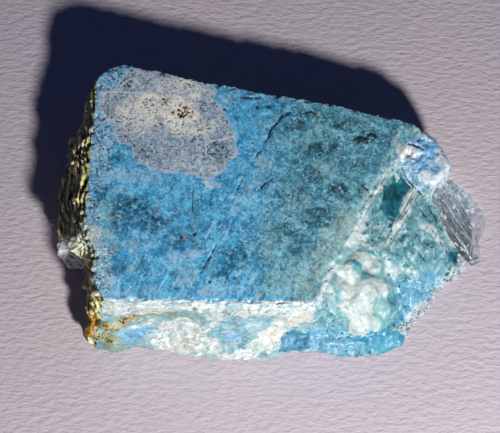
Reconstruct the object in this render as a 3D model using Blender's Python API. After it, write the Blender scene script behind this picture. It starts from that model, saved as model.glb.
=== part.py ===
"""A sawn slab of larimar, the blue pectolite, with the calcite and iron stain that grew with it.

Everything grew together as one stone, so the script joins its forms into one closed solid.
Sizes are in millimetres until the last step, and the lower saw cut lies on z = 0.
"""

import math

import bmesh
import bpy
from mathutils import Vector, noise

MM = 0.001

# The two sawn faces: the foot is level, and the upper face drops a little towards +X.
FACE_HEIGHT = 8.1
FACE_DROP = 0.045

# Rings of the broken side as shares of the height, in close pairs where a ledge steps back.
LEVELS = (
    [0.0, 0.06, 0.13, 0.21, 0.28, 0.30, 0.38, 0.45, 0.47]
    + [0.55, 0.61, 0.63, 0.70, 0.77, 0.79, 0.86, 0.93, 1.0]
)
COLUMNS = 168
FOOT_TUCK = 0.3

# How far each kind of break reaches out or in, as pairs of a share of the height and a reach.
PLAIN_BREAK = [(0.0, 0.0), (0.3, 0.2), (0.7, -0.15), (1.0, 0.0)]
TERRACES = [
    (0.0, 0.0),
    (0.13, 0.35),
    (0.28, 0.1),
    (0.30, 0.45),
    (0.45, 0.1),
    (0.61, -0.1),
    (0.63, 0.3),
    (0.86, 0.0),
    (1.0, 0.0),
]
BROAD_LEDGE = [
    (0.0, 0.0),
    (0.06, 0.3),
    (0.28, 0.45),
    (0.30, -0.5),
    (0.55, -0.4),
    (0.86, 0.1),
    (1.0, 0.0),
]
SHELF_AND_LIP = [
    (0.0, 0.0),
    (0.06, 0.35),
    (0.21, 0.3),
    (0.38, -0.3),
    (0.63, -0.45),
    (0.77, 0.0),
    (0.86, 0.35),
    (0.93, 0.35),
    (1.0, 0.0),
]
STAINED_LEDGES = [
    (0.0, 0.0),
    (0.13, 0.3),
    (0.28, 0.1),
    (0.30, 0.75),
    (0.45, 0.15),
    (0.47, 0.8),
    (0.61, 0.1),
    (0.63, 0.65),
    (0.77, 0.0),
    (0.79, 0.45),
    (1.0, 0.0),
]

# Stations round the stone: rim x, rim y, foot x, foot y and belly, the swell between them.
BACK_STATIONS = [
    (-18.0, 13.6, -18.4, 12.9, 0.3),
    (-16.7, 14.6, -16.9, 13.9, 0.2),
    (-15.2, 15.1, -15.0, 14.4, 0.1),
    (-12.5, 14.5, -12.3, 14.2, 0.0),
    (-8.8, 13.6, -8.6, 13.7, 0.0),
    (-4.2, 12.8, -4.3, 13.2, 0.0),
    (-0.9, 12.0, -0.8, 12.6, 0.0),
    (3.4, 11.4, 3.6, 11.9, 0.0),
    (7.5, 10.7, 7.7, 11.1, 0.0),
    (11.2, 9.7, 11.4, 10.1, 0.0),
    (13.7, 9.2, 14.2, 9.3, 0.0),
    (15.6, 8.3, 16.4, 7.6, 0.0),
]
SLOPE_STATIONS = [
    (14.6, 6.9, 17.4, 5.4, 0.4),
    (13.3, 5.1, 18.8, 3.6, 1.0),
    (11.7, 3.1, 19.6, 1.2, 1.2),
    (10.3, 0.5, 20.4, -1.6, 1.3),
    (8.2, -3.7, 20.9, -3.8, 0.9),
    (7.4, -5.0, 19.2, -5.8, 0.7),
    (6.7, -6.2, 17.8, -6.8, 0.4),
    (5.9, -7.6, 16.5, -9.0, 0.1),
    (5.3, -9.0, 14.7, -10.8, -0.2),
]
LEDGE_STATIONS = [
    (4.9, -10.2, 13.8, -13.0, -0.3),
    (4.6, -11.2, 11.7, -14.1, -0.3),
    (3.8, -11.6, 8.6, -14.2, -0.1),
    (2.8, -11.7, 4.6, -13.8, 0.0),
]
FRONT_STATIONS = [
    (0.9, -11.7, 2.0, -13.7, 0.0),
    (-0.9, -11.6, -0.9, -14.5, 0.0),
    (-3.2, -11.6, -3.1, -14.7, 0.0),
    (-5.6, -11.6, -6.7, -14.3, 0.0),
    (-8.0, -11.6, -9.3, -13.9, 0.0),
    (-10.0, -11.6, -11.3, -13.3, 0.0),
    (-12.5, -11.7, -13.9, -13.3, 0.0),
    (-15.0, -11.7, -16.4, -13.9, 0.0),
    (-16.4, -11.6, -17.7, -13.3, 0.0),
]
STAINED_STATIONS = [
    (-17.2, -10.5, -18.6, -11.8, 0.0),
    (-17.5, -9.2, -18.1, -8.8, 0.0),
    (-17.7, -8.4, -18.2, -7.7, 0.0),
    (-17.4, -6.7, -18.6, -5.6, 0.1),
    (-18.3, -5.1, -19.2, -4.2, 0.3),
    (-18.7, -3.5, -21.0, -2.6, 0.4),
    (-18.6, -1.2, -21.9, -0.6, 0.5),
    (-18.5, 1.6, -21.0, 2.4, 1.1),
    (-18.4, 3.8, -20.5, 5.0, 1.2),
    (-18.3, 6.7, -19.8, 7.6, 1.1),
    (-18.1, 9.0, -19.0, 9.6, 0.9),
    (-18.2, 11.4, -18.7, 11.2, 0.5),
]
STRETCHES = [
    (PLAIN_BREAK, BACK_STATIONS),
    (TERRACES, SLOPE_STATIONS),
    (BROAD_LEDGE, LEDGE_STATIONS),
    (SHELF_AND_LIP, FRONT_STATIONS),
    (STAINED_LEDGES, STAINED_STATIONS),
]

# Roughness of the broken side: the size and height of its waves, scallops and hackles.
WAVE_SIZE = 4.0
WAVE_SHARE = 0.09
SCALLOP_SIZE = 2.4
SCALLOP_HEIGHT = 0.6
HACKLE_SIZE = 1.1
HACKLE_HEIGHT = 0.16
EDGE_CHIP_HEIGHT = 0.14

# Shell-shaped chips struck out of the sides: centre, then half sizes.
CHIPS = [
    ((-4.3, -15.2, 3.6), (3.4, 1.9, 2.1)),
    ((-13.6, -14.5, 2.6), (2.2, 1.3, 2.4)),
    ((7.0, -15.4, 4.8), (4.0, 2.0, 1.8)),
    ((-9.5, 15.3, 2.8), (4.2, 1.7, 2.9)),
    ((4.6, 13.8, 4.6), (3.6, 1.9, 2.6)),
    ((12.6, 11.7, 2.0), (2.6, 1.8, 2.2)),
    ((13.2, 1.6, 7.6), (1.5, 2.1, 1.8)),
]

# Rounded knobs of white pectolite on the sloping end: x, y and radius. Each is flattened and
# sunk by shares of its radius.
KNOBS = [
    (9.0, -8.7, 2.2),
    (8.0, -10.1, 1.8),
    (9.0, -11.1, 1.9),
    (10.5, -11.0, 1.5),
    (11.3, -9.8, 1.8),
    (11.0, -8.1, 1.5),
    (7.6, -6.9, 1.5),
    (9.0, -6.0, 1.1),
    (10.4, -6.6, 1.2),
    (6.9, -9.2, 0.9),
    (6.5, -11.1, 0.8),
]
KNOB_FLATNESS = 0.85
KNOB_SUNK = 0.35
KNOB_UNEVENNESS = 0.14

# The frosted boss at the far right corner, its corners in turn seen from above.
BOSS_OUTLINE = [
    (13.5, 5.7),
    (13.8, 6.9),
    (14.6, 7.9),
    (15.8, 8.2),
    (16.9, 7.6),
    (17.8, 6.3),
    (18.8, 4.3),
    (18.2, 3.5),
    (17.4, 2.6),
    (16.6, 1.6),
    (15.4, 2.3),
    (14.3, 3.5),
    (13.6, 4.5),
]
BOSS_FOOT = 3.0
BOSS_TOP = 7.45
BOSS_FALL = (0.07, 0.02)
BOSS_ROUNDING = 0.5

# The clear calcite plate on the end. Its cleavage planes fall towards +X and -Y, and are given
# by their height over the plate's middle. Each ridge stands on the one before it.
PLATE_MIDDLE = (19.4, 0.6)
PLATE_FALL = (0.62, 0.26)
PLATE_FOOT = 0.2
CLEAVAGES = [
    (
        3.0,
        [
            (16.6, 2.4),
            (17.6, 3.9),
            (18.9, 3.9),
            (21.4, 2.7),
            (22.8, 0.9),
            (22.4, -0.3),
            (21.8, -1.5),
            (22.0, -3.7),
            (21.0, -4.2),
            (19.7, -3.2),
            (18.4, -1.7),
            (17.3, 0.2),
        ],
    ),
    (
        3.5,
        [
            (16.8, 2.5),
            (17.7, 3.2),
            (21.7, -1.1),
            (21.7, -3.4),
            (20.8, -3.9),
            (19.6, -2.9),
        ],
    ),
    (
        4.1,
        [
            (16.5, 1.9),
            (17.1, 2.4),
            (21.0, -2.4),
            (20.7, -3.5),
            (19.9, -3.1),
            (18.3, -1.4),
        ],
    ),
]

# Lumps on the stained side: the clear calcite bud, a milky knob over it, and two of iron ore.
STAINED_LUMPS = [
    ((-20.4, -3.2, 2.6), (1.7, 1.5, 1.9), 0.2),
    ((-18.2, -3.6, 6.6), (1.5, 1.2, 1.6), 0.2),
    ((-17.6, -12.4, 2.7), (1.15, 1.0, 1.6), 0.3),
    ((-16.2, -12.6, 4.6), (1.3, 0.6, 0.8), 0.3),
]


def clear_scene():
    for old in list(bpy.data.objects):
        bpy.data.objects.remove(old)


def new_collection(name):
    made = bpy.data.collections.new(name)
    bpy.context.scene.collection.children.link(made)
    return made


def new_object(name, mesh):
    """An object of flat triangles from a bmesh, in the stone's collection."""
    bmesh.ops.triangulate(mesh, faces=mesh.faces)
    data = bpy.data.meshes.new(name)
    mesh.to_mesh(data)
    mesh.free()
    made = bpy.data.objects.new(name, data)
    FORMS.objects.link(made)
    return made


def face_height(x):
    """Height of the upper saw cut above the foot, at x."""
    return FACE_HEIGHT - FACE_DROP * x


def reach_at(profile, share):
    """A profile's reach at a share of the height, on straight lines between its points."""
    for (low, low_reach), (high, high_reach) in zip(profile, profile[1:]):
        if share <= high:
            return low_reach + (high_reach - low_reach) * (share - low) / (high - low)
    return profile[-1][1]


def full_stations():
    """Every station in turn, with its profile's reach at each level after its own numbers."""
    return [
        list(station) + [reach_at(profile, share) for share in LEVELS]
        for profile, stations in STRETCHES
        for station in stations
    ]


def spread_columns(stations):
    """The stations' closed outline, resampled in even steps along its rim and foot together."""
    following = stations[1:] + stations[:1]
    lengths = [
        math.dist(here[:2], there[:2]) + math.dist(here[2:4], there[2:4])
        for here, there in zip(stations, following)
    ]
    columns = []
    stretch, passed = 0, 0.0
    for step in range(COLUMNS):
        along = sum(lengths) * step / COLUMNS
        while along > passed + lengths[stretch]:
            passed += lengths[stretch]
            stretch += 1
        share = (along - passed) / lengths[stretch]
        ends = zip(stations[stretch], following[stretch])
        columns.append([here + (there - here) * share for here, there in ends])
    return columns


def outward_of(column):
    return Vector((column[2], column[3], 0.0)).normalized()


def smooth_ring(columns, level):
    """One ring of the broken side, before it is roughened."""
    share = LEVELS[level]
    held = math.sin(math.pi * share)
    ring = []
    for column in columns:
        rim_x, rim_y, foot_x, foot_y, belly = column[:5]
        reach = column[5 + level]
        rim = Vector((rim_x, rim_y, face_height(rim_x)))
        foot = Vector((foot_x, foot_y, 0.0))
        wave = WAVE_SHARE * held * noise.noise(foot / WAVE_SIZE)
        ring.append(foot.lerp(rim, share + wave) + outward_of(column) * (belly * held + reach))
    return ring


def roughness(place):
    """How far a point of the break stands out, from scallops with ridges between and hackles."""
    nearest = noise.voronoi(place / SCALLOP_SIZE)[0][0]
    hackle = noise.fractal(place / HACKLE_SIZE, 1.0, 2.0, 3)
    return SCALLOP_HEIGHT * (nearest**2 - 0.3) + HACKLE_HEIGHT * hackle


def roughen_ring(below, ring, above):
    """The ring moved along the side's own normals by its roughness."""
    rough = []
    for i, place in enumerate(ring):
        along = ring[(i + 1) % COLUMNS] - ring[i - 1]
        normal = (above[i] - below[i]).cross(along).normalized()
        rough.append(place + normal * roughness(place))
    return rough


def chip_edge(ring, columns, tuck):
    """The foot or rim, moved only level so that the sawn face stays flat."""
    chipped = []
    for place, column in zip(ring, columns):
        reach = EDGE_CHIP_HEIGHT * noise.fractal(place / HACKLE_SIZE, 1.0, 2.0, 3) - tuck
        moved = place + outward_of(column) * reach
        if place.z > 0.0:
            moved.z = face_height(moved.x)
        chipped.append(moved)
    return chipped


def broken_slab(name):
    """The slab's body: rough rings from foot to rim, closed by the two sawn faces."""
    columns = spread_columns(full_stations())
    rings = [smooth_ring(columns, level) for level in range(len(LEVELS))]
    rough = [roughen_ring(*near) for near in zip(rings, rings[1:], rings[2:])]
    foot = chip_edge(rings[0], columns, FOOT_TUCK)
    rim = chip_edge(rings[-1], columns, 0.0)
    mesh = bmesh.new()
    loops = [[mesh.verts.new(place) for place in ring] for ring in [foot, *rough, rim]]
    for lower, upper in zip(loops, loops[1:]):
        for i in range(COLUMNS):
            mesh.faces.new((lower[i - 1], upper[i - 1], upper[i], lower[i]))
    mesh.faces.new(loops[0])
    mesh.faces.new(loops[-1])
    bmesh.ops.recalc_face_normals(mesh, faces=mesh.faces)
    return new_object(name, mesh)


def lump(name, centre, half_sizes, unevenness):
    """A round form: an icosphere at its place, a little uneven."""
    mesh = bmesh.new()
    bmesh.ops.create_icosphere(mesh, subdivisions=2, radius=1.0)
    for vert in mesh.verts:
        uneven = 1.0 + unevenness * noise.noise(vert.co * 1.7 + Vector(centre))
        reach = [along * size * uneven for along, size in zip(vert.co, half_sizes)]
        vert.co = Vector(centre) + Vector(reach)
    return new_object(name, mesh)


def seats(stone):
    """The knobs' centres and half sizes, set by where the bare stone's surface lies."""
    placed = []
    for x, y, radius in KNOBS:
        high = Vector((x, y, 2.0 * FACE_HEIGHT))
        surface = stone.ray_cast(high, Vector((0.0, 0.0, -1.0)))[1]
        centre = (x, y, surface.z - KNOB_SUNK * radius)
        placed.append((centre, (radius, radius, radius * KNOB_FLATNESS)))
    return placed


def upright_prism(outline, foot):
    """A bmesh of the outline, raised from the foot to well over the stone."""
    mesh = bmesh.new()
    corners = [mesh.verts.new((x, y, foot)) for x, y in outline]
    mesh.faces.new(corners)
    walls = bmesh.ops.extrude_face_region(mesh, geom=mesh.faces[:])
    raised = [part for part in walls["geom"] if isinstance(part, bmesh.types.BMVert)]
    bmesh.ops.translate(mesh, verts=raised, vec=(0.0, 0.0, 2.0 * FACE_HEIGHT))
    bmesh.ops.recalc_face_normals(mesh, faces=mesh.faces)
    return mesh


def cleave(mesh, middle, height, fall):
    """Cuts the prism's top along a plane through height over middle, and closes it."""
    everything = mesh.verts[:] + mesh.edges[:] + mesh.faces[:]
    cut = bmesh.ops.bisect_plane(
        mesh,
        geom=everything,
        plane_co=(middle[0], middle[1], height),
        plane_no=(fall[0], -fall[1], 1.0),
        clear_outer=True,
    )
    edges = [part for part in cut["geom_cut"] if isinstance(part, bmesh.types.BMEdge)]
    bmesh.ops.contextual_create(mesh, geom=edges)
    bmesh.ops.recalc_face_normals(mesh, faces=mesh.faces)


def frosted_boss():
    mesh = upright_prism(BOSS_OUTLINE, BOSS_FOOT)
    cleave(mesh, BOSS_OUTLINE[0], BOSS_TOP, BOSS_FALL)
    worn = [edge for edge in mesh.edges if any(v.co.z > BOSS_FOOT for v in edge.verts)]
    bmesh.ops.bevel(
        mesh, geom=worn, offset=BOSS_ROUNDING, segments=2, profile=0.5, affect="EDGES"
    )
    return new_object("frosted_boss", mesh)


def calcite_ledge(height, outline):
    mesh = upright_prism(outline, PLATE_FOOT)
    cleave(mesh, PLATE_MIDDLE, height, PLATE_FALL)
    return new_object("calcite_ledge", mesh)


def combine(stone, other, operation):
    """Joins or cuts with a Boolean, applied at once, and removes the other form."""
    modifier = stone.modifiers.new(operation.lower(), "BOOLEAN")
    modifier.operation = operation
    modifier.solver = "EXACT"
    modifier.object = other
    bpy.context.view_layer.update()
    graph = bpy.context.evaluated_depsgraph_get()
    joined = bpy.data.meshes.new_from_object(stone.evaluated_get(graph))
    stone.modifiers.clear()
    stone.data = joined
    bpy.data.objects.remove(other)


def centre_on_foot(stone):
    """Puts the origin at the middle of the bounding box's foot, and turns sizes to metres."""
    corners = [Vector(corner) for corner in stone.bound_box]
    middle = sum(corners, Vector()) / len(corners)
    for vert in stone.data.vertices:
        vert.co = (vert.co - Vector((middle.x, middle.y, 0.0))) * MM


def larimar_material():
    material = bpy.data.materials.new("larimar")
    material.use_nodes = True
    shader = material.node_tree.nodes["Principled BSDF"]
    shader.inputs["Base Color"].default_value = (0.11, 0.35, 0.50, 1.0)
    shader.inputs["Roughness"].default_value = 0.45
    shader.inputs["Metallic"].default_value = 0.0
    return material


def larimar():
    """The whole stone as one solid, in metres."""
    stone = broken_slab("larimar")
    for centre, half_sizes in CHIPS:
        combine(stone, lump("chip", centre, half_sizes, KNOB_UNEVENNESS), "DIFFERENCE")
    for centre, half_sizes in seats(stone):
        combine(stone, lump("knob", centre, half_sizes, KNOB_UNEVENNESS), "UNION")
    combine(stone, frosted_boss(), "UNION")
    for height, outline in CLEAVAGES:
        combine(stone, calcite_ledge(height, outline), "UNION")
    for centre, half_sizes, unevenness in STAINED_LUMPS:
        combine(stone, lump("stained_lump", centre, half_sizes, unevenness), "UNION")
    bpy.context.view_layer.update()
    centre_on_foot(stone)
    stone.data.materials.clear()
    stone.data.materials.append(larimar_material())


clear_scene()
FORMS = new_collection("larimar")
larimar()
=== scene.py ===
# %% [markdown]
# # A sawn slab of larimar
#
# Larimar is the blue kind of pectolite, a fibrous silicate that fills cracks and gas holes in
# basalt. This piece was cut into a slab with a saw, so it has a flat face above and below, and
# its four sides are broken. A plate of clear calcite and round knobs of white pectolite grew on
# one end, and a crust of iron ore on the other.
#
# The CAD model gives every main form at its real size. It is loaded first and stays where it
# is, and the stone that is seen is carved from a copy of it.

import math

import bpy
import numpy as np
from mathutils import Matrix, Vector, noise


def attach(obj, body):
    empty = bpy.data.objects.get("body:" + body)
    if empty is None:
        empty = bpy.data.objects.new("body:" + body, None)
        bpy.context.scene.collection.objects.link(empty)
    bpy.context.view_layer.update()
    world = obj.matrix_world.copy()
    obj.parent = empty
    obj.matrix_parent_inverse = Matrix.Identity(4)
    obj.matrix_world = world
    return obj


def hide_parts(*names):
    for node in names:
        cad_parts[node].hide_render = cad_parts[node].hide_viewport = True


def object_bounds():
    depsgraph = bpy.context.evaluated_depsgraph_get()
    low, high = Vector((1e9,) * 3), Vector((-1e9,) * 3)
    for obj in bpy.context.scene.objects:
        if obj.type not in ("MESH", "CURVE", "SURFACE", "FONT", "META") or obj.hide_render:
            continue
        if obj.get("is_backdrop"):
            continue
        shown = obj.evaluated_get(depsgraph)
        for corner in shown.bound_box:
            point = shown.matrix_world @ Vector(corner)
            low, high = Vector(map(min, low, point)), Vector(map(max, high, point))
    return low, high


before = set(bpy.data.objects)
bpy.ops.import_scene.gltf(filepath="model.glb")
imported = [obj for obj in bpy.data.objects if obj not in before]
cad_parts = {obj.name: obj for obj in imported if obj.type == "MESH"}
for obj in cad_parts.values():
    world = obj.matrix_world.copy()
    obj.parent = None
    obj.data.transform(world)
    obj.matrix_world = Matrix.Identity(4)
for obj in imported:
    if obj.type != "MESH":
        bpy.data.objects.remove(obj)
CAD_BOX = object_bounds()
MM = 0.001
print("CAD box in mm:", [[round(c / MM, 2) for c in corner] for corner in CAD_BOX])

# %% [markdown]
# ## The camera first
#
# A small stone is looked at from close by and well above, so that its sawn face shows. The
# camera stands 200 mm away and looks down at 65 degrees. A long lens keeps the far edge almost
# as large as the near one, as it is for an eye that looks at something this small.

# %% Camera
VIEW_HEIGHT = math.radians(65.0)
VIEW_DISTANCE = 200.0
VIEW_WIDTH = 51.95
VIEW_CENTRE = Vector((-2.38, 0.12, 3.0))
SENSOR = 36.0
SEEN_FROM = 5.0
SEEN_TO = 5000.0


def add_camera():
    """A camera that sees VIEW_WIDTH millimetres across at VIEW_CENTRE."""
    back = Vector((0.0, -math.cos(VIEW_HEIGHT), math.sin(VIEW_HEIGHT)))
    place = (VIEW_CENTRE + back * VIEW_DISTANCE) * MM
    turn = (math.pi / 2 - VIEW_HEIGHT, 0.0, 0.0)
    bpy.ops.object.camera_add(location=place, rotation=turn)
    camera = bpy.context.object
    camera.data.sensor_width = SENSOR
    camera.data.lens = SENSOR * VIEW_DISTANCE / VIEW_WIDTH
    camera.data.clip_start = SEEN_FROM * MM
    camera.data.clip_end = SEEN_TO * MM
    bpy.context.scene.camera = camera
    return camera


camera = add_camera()
print("lens in mm:", round(camera.data.lens, 1))

# %% [markdown]
# ## Helpers for working by hand
#
# Blender's operators act on what is selected, so each step first selects just the piece that it
# works on. A modifier is applied at once, which leaves a plain mesh for the next step.

# %% Selecting, applying and measuring


def work_on(piece):
    """Selects only this piece and makes it active."""
    bpy.ops.object.select_all(action="DESELECT")
    piece.select_set(True)
    bpy.context.view_layer.objects.active = piece


def apply_modifier(piece, kind, **settings):
    """Adds a modifier with these settings and applies it."""
    work_on(piece)
    modifier = piece.modifiers.new(kind.title(), kind)
    for name, value in settings.items():
        setattr(modifier, name, value)
    bpy.ops.object.modifier_apply(modifier=modifier.name)


def copy_of(piece, name):
    """A new object with its own copy of the mesh."""
    made = bpy.data.objects.new(name, piece.data.copy())
    bpy.context.scene.collection.objects.link(made)
    return made


def points_of(piece):
    """The piece's points in millimetres, one row each."""
    flat = np.empty(len(piece.data.vertices) * 3)
    piece.data.vertices.foreach_get("co", flat)
    return flat.reshape(-1, 3) / MM


def normals_of(piece):
    flat = np.empty(len(piece.data.vertices) * 3)
    piece.data.vertices.foreach_get("normal", flat)
    return flat.reshape(-1, 3)


def move_points(piece, points):
    """Moves the points, but never past the box of the CAD solid."""
    points = np.clip(points * MM, *CAD_BOX)
    piece.data.vertices.foreach_set("co", points.ravel())
    piece.data.update()


def triangle_count(piece):
    return sum(len(face.vertices) - 2 for face in piece.data.polygons)


# %% [markdown]
# ## The stone, copied from the CAD solid
#
# The CAD mesh arrives as loose triangles. Its copy is merged into one closed skin before
# anything is cut from it. The two calcite crystals have to be pieces of their own, because light
# passes through them and not through the stone. The plate is cut free with a Boolean: once as
# what lies inside the cutter, and once as what is left. The bud is small and round, so it is
# modelled anew, and the stone only gets a hollow for it.

# %% The merged copy
WELD = 0.002 * MM

stone = copy_of(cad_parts["larimar"], "larimar_stone")
work_on(stone)
bpy.ops.object.mode_set(mode="EDIT")
bpy.ops.mesh.select_all(action="SELECT")
bpy.ops.mesh.remove_doubles(threshold=WELD)
bpy.ops.object.mode_set(mode="OBJECT")
print("merged stone:", len(stone.data.vertices), "points")

# %% [markdown]
# ## The bed of the calcite plate
#
# Calcite splits along flat planes, and this plate lies on the sloping end like a slate on a
# roof. The cutter is an upright block over the plate's outline, with its foot cut off along the
# slope that the plate grew on. Past the end of the stone the slope runs below the floor, so the
# plate keeps its full depth there, and light passes right through it.

# %% Cutting the plate free
PLATE_OUTLINE = [
    (16.35, 1.45), (17.15, 2.45), (17.95, 3.35), (18.55, 4.15), (20.0, 5.0), (24.0, 3.0),
    (24.0, -5.5), (20.4, -4.7), (19.2, -3.4), (17.9, -1.8), (16.9, 0.0),
]
PLATE_BED = Vector((17.7, 0.0, 2.9))
BED_SLOPE = 0.95
BED_GAP = 0.12
CUT_FROM = -5.0
CUT_TO = 12.0


def block_over(name, outline, low, high):
    """An upright block: a flat disc with its points set to the outline, then extruded."""
    bpy.ops.object.select_all(action="DESELECT")
    bpy.ops.mesh.primitive_circle_add(vertices=len(outline), fill_type="NGON")
    block = bpy.context.object
    block.name = name
    for point, (x, y) in zip(block.data.vertices, outline):
        point.co = Vector((x, y, low)) * MM
    bpy.ops.object.mode_set(mode="EDIT")
    bpy.ops.mesh.select_all(action="SELECT")
    bpy.ops.mesh.extrude_region_move(
        TRANSFORM_OT_translate={"value": (0.0, 0.0, (high - low) * MM)}
    )
    bpy.ops.mesh.select_all(action="SELECT")
    bpy.ops.mesh.normals_make_consistent(inside=False)
    bpy.ops.object.mode_set(mode="OBJECT")
    return block


def split_flat(piece, place, normal):
    """Cuts the piece along a plane, keeps the side that the normal points to and closes it."""
    work_on(piece)
    bpy.ops.object.mode_set(mode="EDIT")
    bpy.ops.mesh.select_all(action="SELECT")
    bpy.ops.mesh.bisect(
        plane_co=Vector(place) * MM, plane_no=normal, use_fill=True, clear_inner=True
    )
    bpy.ops.object.mode_set(mode="OBJECT")


def remove(piece):
    bpy.data.objects.remove(piece)


def plate_cutter(lowered):
    """A block over the plate's outline, with its sloping bed lowered by this much."""
    cutter = block_over("plate_cutter", PLATE_OUTLINE, CUT_FROM, CUT_TO)
    split_flat(cutter, PLATE_BED - Vector((0.0, 0.0, lowered)), (BED_SLOPE, 0.0, 1.0))
    return cutter


plate = copy_of(stone, "calcite_plate")
cutter = plate_cutter(0.0)
apply_modifier(plate, "BOOLEAN", operation="INTERSECT", solver="EXACT", object=cutter)
remove(cutter)
cutter = plate_cutter(BED_GAP)
apply_modifier(stone, "BOOLEAN", operation="DIFFERENCE", solver="EXACT", object=cutter)
remove(cutter)
print("plate:", triangle_count(plate), "triangles")

# %% [markdown]
# ## The bed of the bud
#
# A small calcite crystal sits in a hollow on the left side. The hollow is cut with a squashed
# ball that is a little larger than the crystal, so that the two never touch. The ball is made of
# even triangles, because a ball of rings has poles, where a Boolean leaves slivers.

# %% Cutting the hollow for the bud
BUD_CENTRE = Vector((-20.5, -3.85, 2.7))
BUD_SIZE = Vector((2.05, 1.85, 2.15))
HOLLOW_GAP = Vector((0.08, 0.08, 0.08))


def squashed_ball(name, centre, half_size, subdivisions):
    """A ball of triangles about this centre, with its own half size along x, y and z."""
    bpy.ops.object.select_all(action="DESELECT")
    bpy.ops.mesh.primitive_ico_sphere_add(subdivisions=subdivisions, radius=1.0)
    ball = bpy.context.object
    ball.name = name
    for point in ball.data.vertices:
        point.co = (centre + point.co * half_size) * MM
    return ball


cutter = squashed_ball("bud_cutter", BUD_CENTRE, BUD_SIZE + HOLLOW_GAP, 3)
apply_modifier(stone, "BOOLEAN", operation="DIFFERENCE", solver="EXACT", object=cutter)
remove(cutter)
print("stone without crystals:", triangle_count(stone), "triangles")

# %% [markdown]
# ## A pale lump over the bud
#
# Over the bud a cream lump has grown onto the crust, just below the sawn face. It is part of the
# stone, so a squashed ball is joined to the stone with a Boolean, and the remesh that follows
# lets the two flow into each other.

# %% Joining the lump
LUMP_CENTRE = Vector((-18.9, -4.8, 7.2))
LUMP_SIZE = Vector((1.6, 1.3, 1.5))

lump = squashed_ball("lump", LUMP_CENTRE, LUMP_SIZE, 3)
apply_modifier(stone, "BOOLEAN", operation="UNION", solver="EXACT", object=lump)
remove(lump)
print("stone with its lump:", triangle_count(stone), "triangles")

# %% [markdown]
# ## A fine, even skin
#
# Chips and grains need many small faces of one size, here 0.165 mm. A voxel remesh gives them,
# and it also closes the small cracks that Booleans leave. It softens the sawn edge, so the points
# that belong to the two saw cuts are put back on their planes. Only the broken sides are then
# smoothed, which takes away the flat triangles of the CAD solid.

# %% Remeshing and smoothing
STONE_FACE = 0.165
FACE_HEIGHT = 8.087
FACE_DROP = 0.045
SNAP = 0.09
FACET_PASSES = 5


def face_height(x):
    """Height of the upper saw cut at x."""
    return FACE_HEIGHT - FACE_DROP * x


apply_modifier(stone, "REMESH", mode="VOXEL", voxel_size=STONE_FACE * MM, use_smooth_shade=True)
points = points_of(stone)
upper = np.abs(points[:, 2] - face_height(points[:, 0])) < SNAP
lower = points[:, 2] < SNAP
points[upper, 2] = face_height(points[upper, 0])
points[lower, 2] = 0.0
move_points(stone, points)
broken = ~(upper | lower)
sides = stone.vertex_groups.new(name="broken")
sides.add(np.flatnonzero(broken).tolist(), 1.0, "REPLACE")
apply_modifier(stone, "SMOOTH", factor=0.5, iterations=FACET_PASSES, vertex_group="broken")
points = points_of(stone)
print("fine skin:", triangle_count(stone), "triangles")
print("sawn points:", int(upper.sum()), "above and", int(lower.sum()), "below")

# %% [markdown]
# ## Where each kind of break lies
#
# The slab has four broken sides, and each one broke in its own way. To treat them apart, every
# point gets its reach past each edge of the upper saw cut, in millimetres: below zero it is
# still over the sawn face, and above zero it is outside that edge. The edge with the largest
# reach owns the point, with a soft change from one side to the next.

# %% Edges of the upper saw cut, and each point's reach past them
LEFT_EDGE = [
    (-11.7, -16.7), (-10.6, -17.5), (-8.5, -18.0), (-6.8, -17.7), (-5.2, -18.6), (-3.6, -19.0),
    (3.7, -18.7), (8.9, -18.4), (13.5, -18.3),
]
RIGHT_EDGE = [
    (-15.0, 1.6), (-11.3, 4.3), (-9.1, 5.0), (-6.3, 6.4), (-3.8, 7.9), (0.4, 10.0),
    (3.0, 11.4), (5.0, 13.0), (8.2, 15.3), (9.5, 17.0),
]
BACK_EDGE = [
    (-18.3, 13.5), (-17.0, 14.5), (-15.5, 15.0), (-12.8, 14.4), (-9.1, 13.5), (-1.2, 11.9),
    (7.2, 10.6), (13.4, 9.1), (15.3, 8.2),
]
FRONT_EDGE = -11.7
SIDES = ("left", "right", "back", "front")
SIDE_BLEND = 0.3


def edge_at(edge, along):
    """The edge's place across, found along it by straight lines between its points."""
    places = np.array(edge)
    return np.interp(along, places[:, 0], places[:, 1])


def reaches(points):
    """Each point's reach past the four edges, as one column a side."""
    x, y = points[:, 0], points[:, 1]
    return np.stack(
        [
            edge_at(LEFT_EDGE, y) - x,
            x - edge_at(RIGHT_EDGE, y),
            y - edge_at(BACK_EDGE, x),
            FRONT_EDGE - y,
        ],
        axis=1,
    )


def shares_of_sides(reach):
    """How far each side owns a point, from 0 to 1 and adding up to 1."""
    powers = np.exp((reach - reach.max(axis=1, keepdims=True)) / SIDE_BLEND)
    return dict(zip(SIDES, (powers / powers.sum(axis=1, keepdims=True)).T))


reach = reaches(points)
share = shares_of_sides(reach)
for side in SIDES:
    print(side, "owns", int((share[side][broken] > 0.5).sum()), "broken points")

# %% [markdown]
# ## Noise at real sizes
#
# Breaks, crusts and grains all look random, but each at its own size. These helpers give noise,
# round beads and tilted facets whose size is in millimetres. One of Blender's noise functions,
# noise_vector, is shifted by a seed that comes from the clock, so the seed is set first, and the
# stone is the same one on every run.

# %% Noise, beads, facets and soft steps
NOISE_SEED = 2
TEST_POINTS = 2000
BEAD_ROUNDNESS = 2.2
TILT_SEED = 9.7
LEVEL_SEED = 5.3
LEVEL_SHARE = 0.5


def soft_step(low, high, values):
    """0 at low, 1 at high, and a smooth rise between."""
    rise = np.clip((values - low) / (high - low), 0.0, 1.0)
    return rise * rise * (3.0 - 2.0 * rise)


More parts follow.
